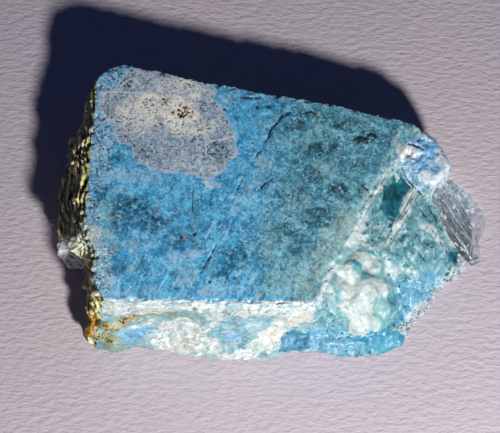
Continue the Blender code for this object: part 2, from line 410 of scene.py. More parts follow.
def turned(places, degrees):
    """The places turned about the upright axis."""
    turn = math.radians(degrees)
    x, y, z = places.T
    along = x * math.cos(turn) - y * math.sin(turn)
    across = x * math.sin(turn) + y * math.cos(turn)
    return np.stack([along, across, z], axis=1)


def noise_at(places, size, stretch=(1.0, 1.0, 1.0), octaves=3):
    """Fractal noise from about -1 to 1, with features of this size in millimetres."""
    scaled = places / (size * np.array(stretch))
    return np.array([noise.fractal(Vector(p), 1.0, 2.0, octaves) for p in scaled])


def beads_at(places, size):
    """Round beads of this size: 1 on a bead's top and 0 or less in the grooves between."""
    nearest = np.array([noise.voronoi(Vector(p))[0][0] for p in places / size])
    return 1.0 - BEAD_ROUNDNESS * nearest**2


def facets_at(places, size, stretch=(1.0, 1.0, 1.0)):
    """Flat facets, each tilted its own way and set at its own height, from about -1 to 1."""
    found = np.empty(len(places))
    for number, place in enumerate(places / (size * np.array(stretch))):
        seed = noise.voronoi(Vector(place))[1][0]
        tilt = noise.cell_vector(seed * TILT_SEED) * 2.0 - Vector((1.0, 1.0, 1.0))
        level = LEVEL_SHARE * noise.cell(seed * LEVEL_SEED)
        found[number] = tilt.dot(Vector(place) - seed) + level
    return found


def in_disc(places, centre, radius, soft):
    """1 inside an upright cylinder and 0 outside it, with a soft edge of this width."""
    away = np.hypot(places[:, 0] - centre[0], places[:, 1] - centre[1])
    return soft_step(radius + soft, radius - soft, away)


def warped(places, size, amount):
    """The places pushed about by noise of this size, so that what is drawn there is ragged."""
    flat = np.pad(places / size, ((0, 0), (0, 3 - places.shape[1])))
    push = np.array([noise.noise_vector(Vector(p)) for p in flat])
    return places + amount * push[:, : places.shape[1]]


noise.seed_set(NOISE_SEED)
facet_test = facets_at(points[broken][:TEST_POINTS], 1.0)
print("facets go from", round(facet_test.min(), 2), "to", round(facet_test.max(), 2))

# %% [markdown]
# ## Relief of the breaks
#
# A break in a fibrous stone is never smooth. Each side gets its own relief, pushed out along the
# skin's normals: hackles and low bands in front and behind, thin ledges along the iron crust,
# which fade here and there, tilted grains and needles on the sloping end, and small round beads
# on the knobs. The window on the slope stays almost smooth, and so does the ochre lump on the
# crust's front corner. A texture could only fake this, and would show no edge against the light.

# %% Where the special places lie
KNOBS = [
    (8.7, -8.8, 2.2), (7.7, -10.2, 1.8), (8.7, -11.2, 1.9), (10.2, -11.1, 1.5),
    (11.0, -9.9, 1.8), (10.7, -8.2, 1.5), (7.3, -7.0, 1.5), (8.7, -6.1, 1.1),
    (10.1, -6.7, 1.2), (6.6, -9.3, 0.9), (6.2, -11.2, 0.8),
]
KNOB_EDGE = 0.25
BOSS_CENTRE = (15.7, 4.9)
BOSS_RADIUS = 3.0
BOSS_EDGE = 0.6
BOSS_FOOT = [(13.6, 4.2), (14.8, 2.9), (16.4, 1.5)]
FOOT_REACH = 0.6
WINDOW_CENTRE = (12.7, 1.3)
WINDOW_RADIUS = 1.9
WINDOW_EDGE = 0.8
GOLD_CENTRE = np.array((-17.9, -12.7, 3.9))
GOLD_RADIUS = 1.3
GOLD_CORE = 0.3
SLOPE_VEINS = [
    (0.4, [(14.9, 2.3), (14.0, 0.7), (13.3, -1.0), (12.4, -2.8), (11.8, -4.4)]),
    (0.3, [(15.6, -1.6), (16.4, -1.5), (17.3, -2.6)]),
]
VEIN_WOBBLE = (0.9, 0.3)
FAR = 6.0


def from_line(places, line):
    """Distance from each place, seen in two columns, to a line through these points."""
    nearest = np.full(len(places), FAR)
    for start, end in zip(line, line[1:]):
        start = np.array(start)
        along = np.array(end) - start
        part = np.clip((places - start) @ along / (along @ along), 0.0, 1.0)
        gap = places - start - part[:, None] * along
        nearest = np.minimum(nearest, np.hypot(gap[:, 0], gap[:, 1]))
    return nearest


def in_widths(places, lines):
    """Distance to the nearest line, in half widths of that line, which come first in its row."""
    found = [from_line(places, line) / half_width for half_width, line in lines]
    return np.minimum(np.min(found, axis=0), FAR)


def knob_share(places):
    return np.max([in_disc(places, knob, knob[2], KNOB_EDGE) for knob in KNOBS], axis=0)


def from_gold(places):
    """Distance from the middle of the ochre lump."""
    return np.linalg.norm(places - GOLD_CENTRE, axis=1)


print("points on the knobs:", int((knob_share(points) > 0.5).sum()))

# %% [markdown]
# Each kind of break is a mix of a few patterns, so the patterns are made once, and a table says
# how many millimetres of each go into each kind.

# %% Pushing the relief out
RELIEF_HEIGHTS = {
    "crust": {"ledges": 1.0, "grit": 0.14, "grains": 0.18},
    "plain": {"hackle": 0.07, "bands": 0.08, "grit": 0.05, "grains": 0.09},
    "slope": {"grains": 0.13, "needles": 0.08, "hackle": 0.05, "vein": 0.05},
    "knobs": {"lobes": 0.08, "beads": 0.12, "grit": 0.03},
    "boss": {"facets": 0.08, "grit": 0.03},
}
LAYER_SPACING = 0.75
LAYER_LEAN = (0.8, 0.7)
LEDGE_SHARE = 0.3
LEDGE_HEIGHTS = (0.3, 0.7)
NEEDLE_TURN = -35.0
WINDOW_SMOOTHNESS = 0.85
GOLD_SMOOTHNESS = 0.6
GOLD_RISE = 0.25
WORN_PASSES = 50


def layered_ledges(places, reach_out):
    """Ledges along the edge, one a layer: a quick rise to 1, which faces up, and a slow fall."""
    out, down = LAYER_LEAN
    depth = out * reach_out + down * (face_height(places[:, 0]) - places[:, 2])
    wander = noise_at(places, 1.6, (0.8, 3.2, 0.8)) + noise_at(places, 5.0)
    turns = (depth / LAYER_SPACING + wander) % 1.0
    return np.minimum(turns / LEDGE_SHARE, (1.0 - turns) / (1.0 - LEDGE_SHARE))


def fading_ledges(places, reach_out):
    """The ledges in millimetres about their middle, lower in some places than in others."""
    low, high = LEDGE_HEIGHTS
    kept = soft_step(-0.25, 0.25, noise_at(places, 2.2, (1.0, 1.6, 1.0)))
    return (low + (high - low) * kept) * (layered_ledges(places, reach_out) - 0.5)


def relief_of(places, reach, share):
    """How far each broken point is pushed out, in millimetres."""
    slope_veins = in_widths(warped(places[:, :2], *VEIN_WOBBLE), SLOPE_VEINS)
    patterns = {
        "hackle": noise_at(places, 0.9),
        "grit": noise_at(places, 0.45, octaves=2),
        "bands": noise_at(places, 0.8, (3.0, 3.0, 0.6)),
        "grains": facets_at(warped(places, 0.8, 0.25), 0.95, (1.0, 1.0, 0.8)),
        "ledges": fading_ledges(places, reach[:, 0]),
        "needles": facets_at(turned(places, NEEDLE_TURN), 0.42, (1.0, 4.2, 1.6)),
        "vein": soft_step(1.5, 0.4, slope_veins),
        "lobes": beads_at(warped(places, 1.2, 0.35), 1.5),
        "beads": beads_at(warped(places, 0.6, 0.2), 0.75),
        "facets": facets_at(places, 0.6),
    }
    made = {
        kind: sum(height * patterns[name] for name, height in heights.items())
        for kind, heights in RELIEF_HEIGHTS.items()
    }
    knobs = knob_share(places)
    boss = in_disc(places, BOSS_CENTRE, BOSS_RADIUS, BOSS_EDGE)
    window = in_disc(places, WINDOW_CENTRE, WINDOW_RADIUS, WINDOW_EDGE)
    gold = soft_step(GOLD_RADIUS, GOLD_CORE, from_gold(places))
    slope = made["slope"] * (1.0 - knobs) * (1.0 - WINDOW_SMOOTHNESS * window)
    slope = (slope + made["knobs"] * knobs) * (1.0 - boss) + made["boss"] * boss
    crust = made["crust"] * (1.0 - GOLD_SMOOTHNESS * gold) + GOLD_RISE * gold
    plain_share = share["back"] + share["front"]
    return share["left"] * crust + share["right"] * slope + plain_share * made["plain"]


# The knobs and the boss's foot are first worn round, so that no edge of the solid is left there.
worn = knob_share(points) * share["right"] > 0.5
worn |= from_line(points[:, :2], BOSS_FOOT) < FOOT_REACH
group = stone.vertex_groups.new(name="worn")
group.add(np.flatnonzero(worn & broken).tolist(), 1.0, "REPLACE")
apply_modifier(stone, "SMOOTH", factor=0.5, iterations=WORN_PASSES, vertex_group="worn")
points = points_of(stone)
owned = {side: values[broken] for side, values in share.items()}
relief = np.zeros(len(points))
relief[broken] = relief_of(points[broken], reach[broken], owned)
points += normals_of(stone) * relief[:, None]
points[:, 2] = np.clip(points[:, 2], 0.0, face_height(points[:, 0]))
move_points(stone, points)
print("relief from", round(relief.min(), 2), "to", round(relief.max(), 2), "mm")

# %% [markdown]
# ## Chipped edges and pits
#
# A saw bruises the edge of the cut, so small chips are missing all along it, and cracks and
# black grains leave shallow pits in the sawn face. Cutting each one with a Boolean would be slow
# and would spoil the even skin, so the skin's points are lowered instead, and only ever down from
# the plane. A crack is a row of places seen from above, after half its width.

# %% Lowering the sawn face
CHIP_DEPTH = 0.3
CHIP_REACH = 0.45
CHIP_SIZE = 0.9
PIT_DEPTH = 0.1
PIT_WOBBLE = (0.7, 0.1)
FROM_ABOVE_ONLY = np.array((1.0, 1.0, 0.0))
CRACKS = [
    (0.13, [(-0.6, 6.7), (-0.3, 7.4), (0.3, 8.4), (0.9, 9.2), (1.7, 9.6)]),
    (0.08, [(-1.6, 4.7), (-1.1, 5.6), (-0.6, 6.7)]),
    (0.05, [(-4.6, -1.7), (-3.7, 0.6), (-2.8, 2.6), (-1.6, 4.7)]),
    (0.09, [(-1.2, 0.8), (-0.9, 1.4), (-0.1, 2.0)]),
    (0.05, [(-8.1, 2.2), (-8.15, 0.3), (-8.2, -1.9)]),
    (0.04, [(-7.6, 1.9), (-7.4, 0.4), (-7.2, -1.7)]),
    (0.1, [(-6.6, -7.2), (-6.3, -6.8), (-5.8, -5.6)]),
    (0.05, [(-7.3, -8.6), (-6.6, -7.2)]),
    (0.11, [(-9.5, -4.3), (-9.1, -4.9)]),
    (0.13, [(-8.0, -4.5), (-7.7, -4.2)]),
    (0.12, [(-3.3, 11.3), (-2.4, 11.2), (-1.2, 11.4)]),
    (0.12, [(-2.8, 11.9), (-2.2, 11.8)]),
    (0.11, [(-1.7, 10.2), (-0.9, 10.4), (-0.2, 10.2)]),
    (0.14, [(3.4, 9.6), (3.9, 9.9), (4.3, 9.7)]),
    (0.12, [(6.4, 7.4), (6.8, 6.9)]),
    (0.16, [(8.3, 6.6), (8.8, 7.0), (9.6, 7.0), (10.0, 7.5), (10.7, 7.1)]),
    (0.12, [(8.4, 6.3), (9.1, 6.6), (9.8, 6.3)]),
    (0.1, [(4.1, 1.9), (4.7, 2.9)]),
    (0.1, [(9.0, 1.6), (9.7, 0.7)]),
    (0.12, [(-5.1, 9.9), (-4.9, 9.8)]),
    (0.14, [(-3.9, -9.0), (-3.8, -9.0)]),
    (0.12, [(-7.5, -5.8), (-7.4, -5.8)]),
    (0.12, [(-6.4, -9.6), (-6.3, -9.5)]),
    (0.09, [(13.3, 3.9), (13.7, 3.3), (14.0, 2.8), (14.4, 2.35), (14.9, 1.85), (15.5, 1.5)]),
    (0.07, [(15.5, 1.5), (16.2, 1.0), (16.9, 0.6)]),
    (0.1, [(14.0, 6.3), (14.8, 6.2), (15.4, 5.7)]),
    (0.1, [(15.8, -1.6), (16.4, -1.7), (16.7, -2.0)]),
    (0.1, [(17.3, -2.9), (17.8, -3.2), (18.0, -3.6)]),
    (0.08, [(15.0, 0.2), (15.8, -0.6), (16.4, -0.8)]),
    (0.1, [(16.2, 0.6), (17.2, -1.0), (18.4, -2.4)]),
    (0.09, [(15.6, -3.2), (16.5, -3.7), (17.1, -3.6)]),
    (0.12, [(17.9, -5.6), (18.6, -5.3)]),
    (0.1, [(15.0, -4.6), (15.5, -4.9)]),
]

near = np.flatnonzero(points[:, 2] > face_height(points[:, 0]) - CHIP_DEPTH)
sawn = points[near]
inset = -reaches(sawn).max(axis=1)
chipped = soft_step(0.05, 0.45, noise_at(sawn * FROM_ABOVE_ONLY, CHIP_SIZE))
chips = CHIP_DEPTH * chipped * soft_step(CHIP_REACH, 0.0, inset)
crack_distance = in_widths(warped(sawn[:, :2], *PIT_WOBBLE), CRACKS)
pits = PIT_DEPTH * soft_step(1.6, 0.6, crack_distance)
lowered = face_height(sawn[:, 0]) - np.maximum(chips, pits)
sawn[:, 2] = np.minimum(sawn[:, 2], lowered)
points[near] = sawn
move_points(stone, points)
print("deepest chip:", round(chips.max(), 2), "mm")

# %% [markdown]
# ## One flat foot
#
# The lower saw cut is flat and needs no fine faces, and it would take nearly a third of all
# triangles. Its faces are picked by their height alone, because nothing else is as low, and
# dissolved into one. What the points know about their relief is stored first, because dissolving
# renumbers them.

# %% Dissolving the foot


def give_points(piece, name, values):
    """Stores one number for each point, which a material reads by this name."""
    layer = piece.data.attributes.new(name, "FLOAT", "POINT")
    layer.data.foreach_set("value", values.astype(np.float32))


def face_centres(piece):
    flat = np.empty(len(piece.data.polygons) * 3)
    piece.data.polygons.foreach_get("center", flat)
    return flat.reshape(-1, 3) / MM


def select_faces(piece, chosen):
    """Leaves the piece in edit mode with only these faces selected."""
    work_on(piece)
    bpy.ops.object.mode_set(mode="EDIT")
    bpy.ops.mesh.select_mode(type="FACE")
    bpy.ops.mesh.select_all(action="DESELECT")
    bpy.ops.object.mode_set(mode="OBJECT")
    piece.data.polygons.foreach_set("select", chosen)
    bpy.ops.object.mode_set(mode="EDIT")


RELIEF_RANGE = 0.3
FLAT = 0.001

give_points(stone, "raised", relief / RELIEF_RANGE)
select_faces(stone, face_centres(stone)[:, 2] < FLAT)
bpy.ops.mesh.dissolve_faces()
bpy.ops.object.mode_set(mode="OBJECT")
points = points_of(stone)
reach = reaches(points)
share = shares_of_sides(reach)
print("stone with one foot face:", triangle_count(stone), "triangles")

# %% [markdown]
# ## The clear plate
#
# Calcite cleaves in steps, so the plate's flat faces are crossed by fine straight ridges, all
# one way. The plate is remeshed like the stone, and its ridges are pushed out. Where a crest is
# high or a spot has crumbled, the surface will be frosted, and light gets through it scattered.

# %% Cleavage steps on the plate
PLATE_FACE = 0.13
STEP_TURN = 44.0
STEP_WIDTH = 1.15
STEP_HEIGHT = 0.045
STEP_WOBBLE = (2.5, 0.35)
PLATE_HACKLE = 0.03
FLOOR_FADE = (0.1, 0.6)


def step_ridges(places):
    """Straight cleavage steps that run one way: a slow rise and a sudden drop, over and over."""
    across = turned(warped(places, *STEP_WOBBLE), STEP_TURN)[:, 1]
    return (across / STEP_WIDTH) % 1.0


apply_modifier(
    plate, "REMESH", mode="VOXEL", voxel_size=PLATE_FACE * MM, use_smooth_shade=True
)
plate_points = points_of(plate)
step = step_ridges(plate_points)
hackle = noise_at(plate_points, 0.5, octaves=2)
off_floor = soft_step(*FLOOR_FADE, plate_points[:, 2])
shift = (STEP_HEIGHT * (step - 0.5) + PLATE_HACKLE * hackle) * off_floor
plate_points += normals_of(plate) * shift[:, None]
plate_points[:, 2] = np.maximum(plate_points[:, 2], 0.0)
move_points(plate, plate_points)
print("plate:", triangle_count(plate), "triangles")

# %% [markdown]
# ## The bud
#
# The bud is a little cluster of rounded calcite lumps. It starts as a ball at its real size, is
# cut by a few planes into blunt facets, and is remeshed so that the facets flow together. Its
# small lumps only go inwards, so that it stays inside its hollow.

# %% Cutting and rounding the bud
BUD_FACE = 0.09
BUD_LUMPS = 0.16
BUD_HACKLE = 0.04
BUD_FULL = 0.14
BUD_PASSES = 4
BUD_FACETS = [
    ((-22.3, -3.4, 3.0), (1.0, 0.25, -0.1)),
    ((-21.2, -3.5, 4.35), (0.3, 0.1, -1.0)),
    ((-20.6, -4.75, 2.6), (0.05, 1.0, -0.25)),
    ((-21.8, -4.5, 2.4), (0.8, 0.9, 0.1)),
    ((-20.2, -4.4, 3.9), (-0.2, 0.9, -0.9)),
]

bud = squashed_ball("calcite_bud", BUD_CENTRE, BUD_SIZE, 4)
for place, normal in BUD_FACETS:
    split_flat(bud, place, normal)
apply_modifier(bud, "REMESH", mode="VOXEL", voxel_size=BUD_FACE * MM, use_smooth_shade=True)
apply_modifier(bud, "SMOOTH", factor=0.5, iterations=BUD_PASSES)
bud_points = points_of(bud)
lumps = BUD_LUMPS * facets_at(warped(bud_points, 0.8, 0.3), 1.1)
lumps += BUD_HACKLE * noise_at(bud_points, 0.5)
bud_points += normals_of(bud) * np.minimum(lumps - BUD_FULL, 0.0)[:, None]
move_points(bud, bud_points)
print("bud:", triangle_count(bud), "triangles")

# %% [markdown]
# ## Markings on the stone
#
# What is drawn on a stone follows how it grew. A patch of grey calcite was caught by the saw,
# veins of white pectolite cross the blue, and thin cracks hold dark iron and manganese. Each
# mark is a short line or an outline in millimetres, seen from above. Lines are kept as the
# distance from the line over half its width, so a material can draw them sharp, and an outline
# is kept as the distance from its edge, below zero inside. Three more distances are kept: inset,
# in from the left and back edges of the sawn face, where the saw bruised it, lip, in from its
# front edge, and gold, in from the skin of the ochre lump on the crust.

# %% Lines and outlines
PATCH_OUTLINE = [
    (-17.9, 11.5), (-16.2, 12.0), (-15.8, 13.0), (-14.9, 13.9), (-14.1, 14.7), (-13.0, 15.5),
    (-8.0, 14.5), (-6.3, 12.6), (-6.0, 11.7), (-5.7, 10.5), (-5.1, 9.2), (-4.4, 8.1),
    (-3.9, 6.8), (-3.9, 4.7), (-4.5, 3.5), (-5.3, 2.9), (-6.0, 2.3), (-6.8, 1.8), (-7.4, 2.1),
    (-8.0, 2.6), (-9.3, 2.5), (-11.3, 2.7), (-13.0, 3.1), (-14.1, 3.6), (-14.3, 4.9),
    (-14.7, 5.6), (-15.9, 5.9), (-16.3, 6.6), (-16.1, 7.4), (-16.7, 8.2), (-17.4, 8.6),
    (-17.8, 10.0),
]
SEAMS = [
    (0.1, [(-16.1, 11.9), (-15.3, 12.9), (-14.4, 13.4), (-13.4, 11.4)]),
    (0.09, [(-17.7, 11.4), (-15.9, 11.7), (-13.6, 11.6)]),
    (0.1, [(-17.6, 11.2), (-17.5, 9.2), (-16.9, 8.3)]),
    (0.09, [(-16.2, 10.4), (-15.8, 9.6)]),
    (0.09, [(-15.6, 7.0), (-14.4, 6.9), (-13.3, 7.5)]),
    (0.1, [(-6.9, 6.0), (-5.3, 6.4), (-4.0, 6.7)]),
    (0.08, [(-6.9, 6.0), (-6.8, 4.6), (-5.4, 3.3)]),
    (0.12, [(-8.6, 3.5), (-8.2, 2.4)]),
    (0.14, [(-7.6, 4.0), (-7.3, 2.7)]),
    (0.24, [(-6.2, 3.1), (-5.8, 2.6)]),
    (0.13, [(-7.0, 1.8), (-6.6, 0.9), (-5.9, 0.8)]),
]
LINE_WOBBLE = (0.8, 0.12)
PATCH_WOBBLE = (0.9, 0.35)
VEINS = SLOPE_VEINS + [
    (0.56, [(12.6, 5.0), (11.4, 3.2), (10.0, 0.8), (9.0, -1.4), (8.0, -3.9)]),
    (0.25, [(8.3, -3.7), (7.2, -5.6), (6.0, -7.4), (5.0, -9.4), (4.4, -11.4)]),
    (0.22, [(13.3, 8.2), (12.9, 7.2), (12.5, 6.3)]),
]


def inside(places, outline):
    """Whether each place is inside a closed outline, by counting the sides that it looks across."""
    crossed = np.zeros(len(places), dtype=bool)
    for (ax, ay), (bx, by) in zip(outline, outline[1:] + outline[:1]):
        between = (ay > places[:, 1]) != (by > places[:, 1])
        at = ax + (places[:, 1] - ay) * (bx - ax) / ((by - ay) or 1e-9)
        crossed ^= between & (places[:, 0] < at)
    return crossed


def from_edge(places, outline):
    """Distance to the outline's edge, below zero inside it."""
    away = from_line(places, outline + outline[:1])
    return np.where(inside(places, outline), -away, away)


plan = points[:, :2]
for_lines = warped(plan, *LINE_WOBBLE)
give_points(stone, "patch", from_edge(warped(plan, *PATCH_WOBBLE), PATCH_OUTLINE))
give_points(stone, "crack", in_widths(for_lines, CRACKS))
give_points(stone, "seam", in_widths(for_lines, SEAMS))
give_points(stone, "vein", in_widths(warped(plan, *VEIN_WOBBLE), VEINS))
give_points(stone, "inset", -np.maximum(reach[:, 0], reach[:, 2]))
give_points(stone, "lip", -reach[:, 3])
give_points(stone, "gold", GOLD_RADIUS - from_gold(points))
print("marks stored for", len(points), "points")

# %% [markdown]
# ## Where each colour lies
#
# Copper gives larimar its blue, and it is spread unevenly: the left is bluest and the right is
# a grey sea green. Each colour is a list of soft ovals, as with a wide brush: the middle, two
# radii, a turn in degrees and a strength. The front side has its own list, seen from the front
# in x and z, because from above it is almost edge on. Noise then pushes the ovals out of shape.

# %% Soft ovals of colour
OVAL_SOFTNESS = 0.45
OVAL_WOBBLES = [(1.8, 0.7), (0.6, 0.3)]
FROM_ABOVE = {
    "green": [
        (8.5, 1.0, 9.0, 15.0, 0, 1.0),
        (4.2, -6.0, 6.4, 7.5, 0, 0.9),
        (10.4, -3.2, 1.8, 1.2, 0, 1.0),
        (-16.8, -5.0, 2.0, 6.0, 0, 0.5),
    ],
    "deep": [
        (-14.2, -1.7, 2.3, 1.6, 0, 0.9),
        (-12.4, -3.1, 1.8, 1.3, 0, 1.0),
        (-9.0, -3.0, 3.0, 2.2, 0, 0.35),
        (-15.3, -3.2, 1.1, 1.0, 0, 0.6),
        (-17.6, -0.3, 0.5, 1.7, -19, 1.0),
        (-16.9, 3.5, 1.2, 0.8, 20, 0.7),
        (-15.8, 4.2, 0.6, 0.6, 0, 0.6),
        (-4.2, -6.8, 1.9, 1.5, 30, 0.8),
        (-5.2, -8.4, 1.3, 0.9, 35, 0.8),
        (-5.8, -7.0, 1.6, 2.6, -25, 0.3),
        (-15.6, -8.2, 1.0, 0.7, 0, 0.5),
        (-12.5, -8.0, 1.4, 0.7, 0, 0.5),
        (-9.4, -8.9, 1.1, 0.6, 0, 0.6),
        (-9.6, -5.2, 1.8, 1.2, 0, 0.5),
        (-9.5, 0.8, 2.6, 1.2, 0, 0.3),
        (6.7, 0.8, 1.4, 1.2, 0, 0.9),
        (2.2, 8.0, 1.6, 0.8, 0, 0.8),
        (1.0, 10.4, 1.4, 0.6, 0, 0.4),
        (6.0, 9.6, 1.0, 0.5, 0, 0.7),
        (12.8, 7.8, 0.8, 0.5, 0, 0.7),
        (8.8, 1.2, 1.0, 0.8, 0, 0.6),
        (3.4, 0.2, 1.2, 0.7, 0, 0.5),
        (7.2, 8.4, 1.6, 0.8, 0, 0.7),
        (5.6, 6.2, 1.2, 0.7, 0, 0.7),
        (8.6, 3.4, 1.1, 0.8, 0, 0.7),
        (10.8, 7.6, 1.2, 0.6, 0, 0.7),
        (5.0, -2.2, 1.9, 1.2, 0, 0.8),
        (3.3, 2.6, 1.5, 0.9, 0, 0.6),
        (4.4, 5.4, 2.0, 0.9, 0, 0.8),
        (1.3, -3.6, 1.3, 0.9, 0, 0.6),
        (2.3, -6.4, 1.5, 0.7, 0, 0.5),
        (9.0, 7.0, 1.5, 0.6, 0, 0.9),
        (3.6, 9.3, 1.7, 0.7, 0, 0.7),
        (1.5, 0.8, 1.8, 1.4, 0, 0.4),
        (6.3, 3.9, 1.4, 0.8, 0, 0.5),
        (12.2, 6.8, 0.8, 0.9, 0, 0.4),
        (9.6, 4.9, 1.3, 0.8, 0, 0.5),
        (4.3, -8.6, 1.1, 1.0, 0, 0.4),
        (1.5, -8.6, 1.3, 0.8, 0, 0.4),
        (13.7, 2.0, 1.6, 1.9, -30, 1.0),
        (12.6, 0.9, 1.5, 2.6, -25, 1.0),
        (12.5, -2.3, 0.5, 0.6, 0, 0.8),
        (11.9, -10.2, 0.5, 1.2, 0, 0.8),
        (6.0, -11.4, 0.9, 0.8, 0, 0.3),
        (8.4, -7.2, 0.6, 0.5, 0, 0.9),
        (11.6, -13.2, 1.6, 0.6, 0, 0.5),
        (18.6, -4.1, 0.9, 0.7, 0, 0.6),
    ],
    "pale": [
        (-17.7, 6.0, 1.0, 4.4, 4, 0.6),
        (-16.8, -9.4, 1.1, 2.2, 0, 0.9),
        (-17.0, -5.2, 1.4, 1.6, 20, 0.7),
        (-16.4, -1.0, 0.8, 2.0, -10, 0.4),
        (-11.7, 6.6, 0.8, 0.8, 0, 0.9),
        (19.2, -0.8, 1.6, 4.8, 30, 1.0),
        (-9.6, -7.7, 1.6, 0.7, -20, 0.5),
        (-8.5, -9.4, 0.7, 0.8, 0, 0.6),
        (-15.4, -11.0, 2.0, 0.5, 0, 0.8),
        (-6.4, 1.4, 0.9, 0.5, 0, 1.0),
        (-14.7, 0.1, 0.7, 0.2, 0, 0.6),
        (-14.4, 2.0, 3.0, 0.9, 0, 0.8),
        (-9.0, -6.6, 1.6, 0.7, 10, 0.9),
        (-8.6, -9.2, 0.9, 1.2, -20, 0.9),
        (-2.0, 1.8, 1.0, 4.2, -25, 0.45),
        (-1.0, -4.8, 2.4, 2.4, -25, 0.3),
        (-4.6, 11.2, 1.2, 0.8, 0, 0.6),
        (2.2, -9.6, 2.6, 1.2, -20, 0.6),
        (-5.4, -10.4, 2.6, 0.9, 0, 0.6),
        (-13.4, -5.4, 1.6, 0.9, 0, 0.5),
        (2.6, -0.6, 1.3, 0.8, 0, 0.4),
        (5.2, 3.4, 1.3, 0.7, 0, 0.4),
        (6.8, -4.6, 2.1, 4.0, -28, 1.0),
        (3.6, -8.0, 2.4, 1.4, -30, 0.5),
        (5.2, -8.2, 1.2, 2.8, -28, 0.95),
        (7.0, -7.4, 1.5, 1.0, 0, 0.6),
        (4.0, -11.0, 2.2, 0.7, 0, 0.5),
        (8.6, -6.3, 1.5, 0.7, 0, 0.8),
        (10.2, -6.9, 1.5, 1.0, 0, 0.9),
        (12.2, -6.3, 1.6, 0.6, 10, 0.8),
        (14.9, -5.9, 1.2, 0.5, 0, 0.3),
        (8.6, -4.9, 1.5, 0.9, 0, 1.0),
        (16.2, -1.7, 1.0, 0.4, -20, 0.7),
        (17.2, -3.2, 0.9, 0.4, -40, 0.7),
        (14.0, 5.4, 1.0, 0.9, 0, 1.0),
        (16.3, 2.5, 1.3, 0.7, -38, 0.8),
        (17.4, 4.4, 0.8, 1.8, 15, 0.7),
        (15.1, 7.6, 1.2, 0.7, 0, 0.6),
        (15.8, -9.2, 0.9, 3.2, -52, 0.8),
        (14.0, -12.0, 0.8, 1.5, -20, 0.8),
        (18.0, -6.4, 0.7, 2.0, -50, 0.8),
    ],
    "pool": [
        (11.2, -13.0, 2.6, 1.3, 0, 1.0),
    ],
    "needled": [
        (-11.0, -10.0, 8.0, 1.3, 0, 1.0),
        (0.5, -9.4, 6.5, 2.2, 0, 1.0),
        (-6.3, -5.0, 1.2, 6.0, -22, 0.9),
        (-3.6, 1.4, 1.2, 4.0, -25, 0.3),
        (7.6, -7.0, 1.4, 3.6, -28, 0.8),
        (-13.6, -7.2, 1.0, 2.2, -22, 0.5),
    ],
    "sky": [
        (-3.4, 8.0, 2.4, 3.0, 0, 0.6),
        (-5.2, -7.0, 2.6, 3.2, -25, 1.0),
        (-8.0, -1.0, 3.4, 2.8, 0, 0.6),
        (-4.0, -10.2, 3.0, 1.3, 20, 0.8),
        (-12.0, -9.6, 6.0, 2.0, 0, 0.9),
        (-13.5, -6.2, 3.0, 1.2, 0, 0.5),
        (-10.5, -9.8, 4.0, 1.4, 0, 0.6),
        (-16.6, 13.5, 1.4, 1.5, 0, 0.6),
        (15.8, 5.0, 1.5, 1.8, 0, 1.0),
        (13.8, -9.3, 2.4, 2.6, 0, 0.9),
        (16.4, -6.6, 1.8, 1.5, 0, 0.9),
        (9.5, -13.4, 3.4, 0.8, 0, 1.0),
        (13.2, -7.4, 1.6, 1.2, 0, 0.6),
        (3.2, -13.2, 3.0, 0.9, 0, 0.8),
        (6.4, -13.4, 2.6, 1.0, 0, 1.0),
    ],
    "cream": [
        (-9.8, 9.4, 2.4, 1.9, -25, 1.0),
        (-13.8, 9.2, 2.6, 2.2, 0, 0.6),
        (-12.0, 10.4, 2.4, 1.3, -20, 0.7),
        (-9.8, 12.2, 3.0, 1.1, -12, 0.5),
        (-8.0, 7.6, 2.2, 0.9, 0, 0.5),
        (-19.0, -4.9, 1.7, 1.4, 0, 1.0),
        (10.4, -4.6, 1.6, 0.8, 0, 0.5),
        (13.6, 5.6, 0.8, 0.7, 0, 0.7),
    ],
    "slate": [
        (-5.4, 5.0, 1.3, 1.5, 0, 1.0),
        (-15.3, 12.8, 1.3, 0.8, 32, 1.0),
        (-16.6, 10.0, 1.0, 1.3, 0, 0.7),
        (-14.0, 5.0, 1.4, 0.8, 0, 0.6),
        (-11.0, 4.2, 3.0, 0.9, 0, 0.3),
    ],
    "frosted": [
        (-17.8, 6.2, 1.2, 4.2, 4, 1.0),
        (-18.4, -1.6, 0.7, 2.4, 8, 0.8),
        (-17.2, -7.2, 0.8, 2.6, 0, 0.8),
        (-16.6, -9.8, 1.1, 1.2, 0, 0.7),
        (-17.2, 13.2, 1.6, 1.8, 0, 1.0),
        (-15.8, 14.3, 1.6, 0.6, -15, 0.7),
    ],
    "mint": [
        (7.7, -9.2, 1.2, 1.1, 0, 1.0),
        (9.2, -9.4, 1.3, 1.0, 0, 1.0),
        (10.6, -8.6, 0.9, 0.8, 0, 1.0),
        (7.9, -11.0, 1.1, 1.2, 0, 1.0),
        (9.2, -10.9, 1.1, 1.0, 0, 0.9),
        (9.1, -12.4, 1.5, 1.2, 0, 1.0),
        (6.9, -7.7, 1.0, 0.6, -35, 1.0),
        (9.3, -6.5, 1.6, 0.8, 0, 1.0),
        (5.5, -10.2, 0.6, 0.7, 0, 0.9),
        (6.1, -12.0, 0.35, 0.4, 0, 1.0),
    ],
    "rust": [
        (-11.0, 11.1, 0.8, 0.4, 0, 0.8),
        (-9.2, 9.3, 1.1, 0.5, 20, 1.0),
        (-18.6, 8.7, 0.7, 0.9, 0, 1.0),
        (-20.3, 4.9, 0.8, 1.3, 0, 0.5),
        (-20.3, 2.0, 0.9, 1.2, 0, 0.6),
        (-20.2, -1.0, 0.7, 1.0, 0, 0.5),
        (-19.6, -4.4, 0.7, 0.6, 0, 0.9),
        (-18.0, -12.6, 1.4, 1.2, 0, 0.5),
        (-15.4, -12.6, 1.6, 0.7, 15, 0.8),
    ],
}
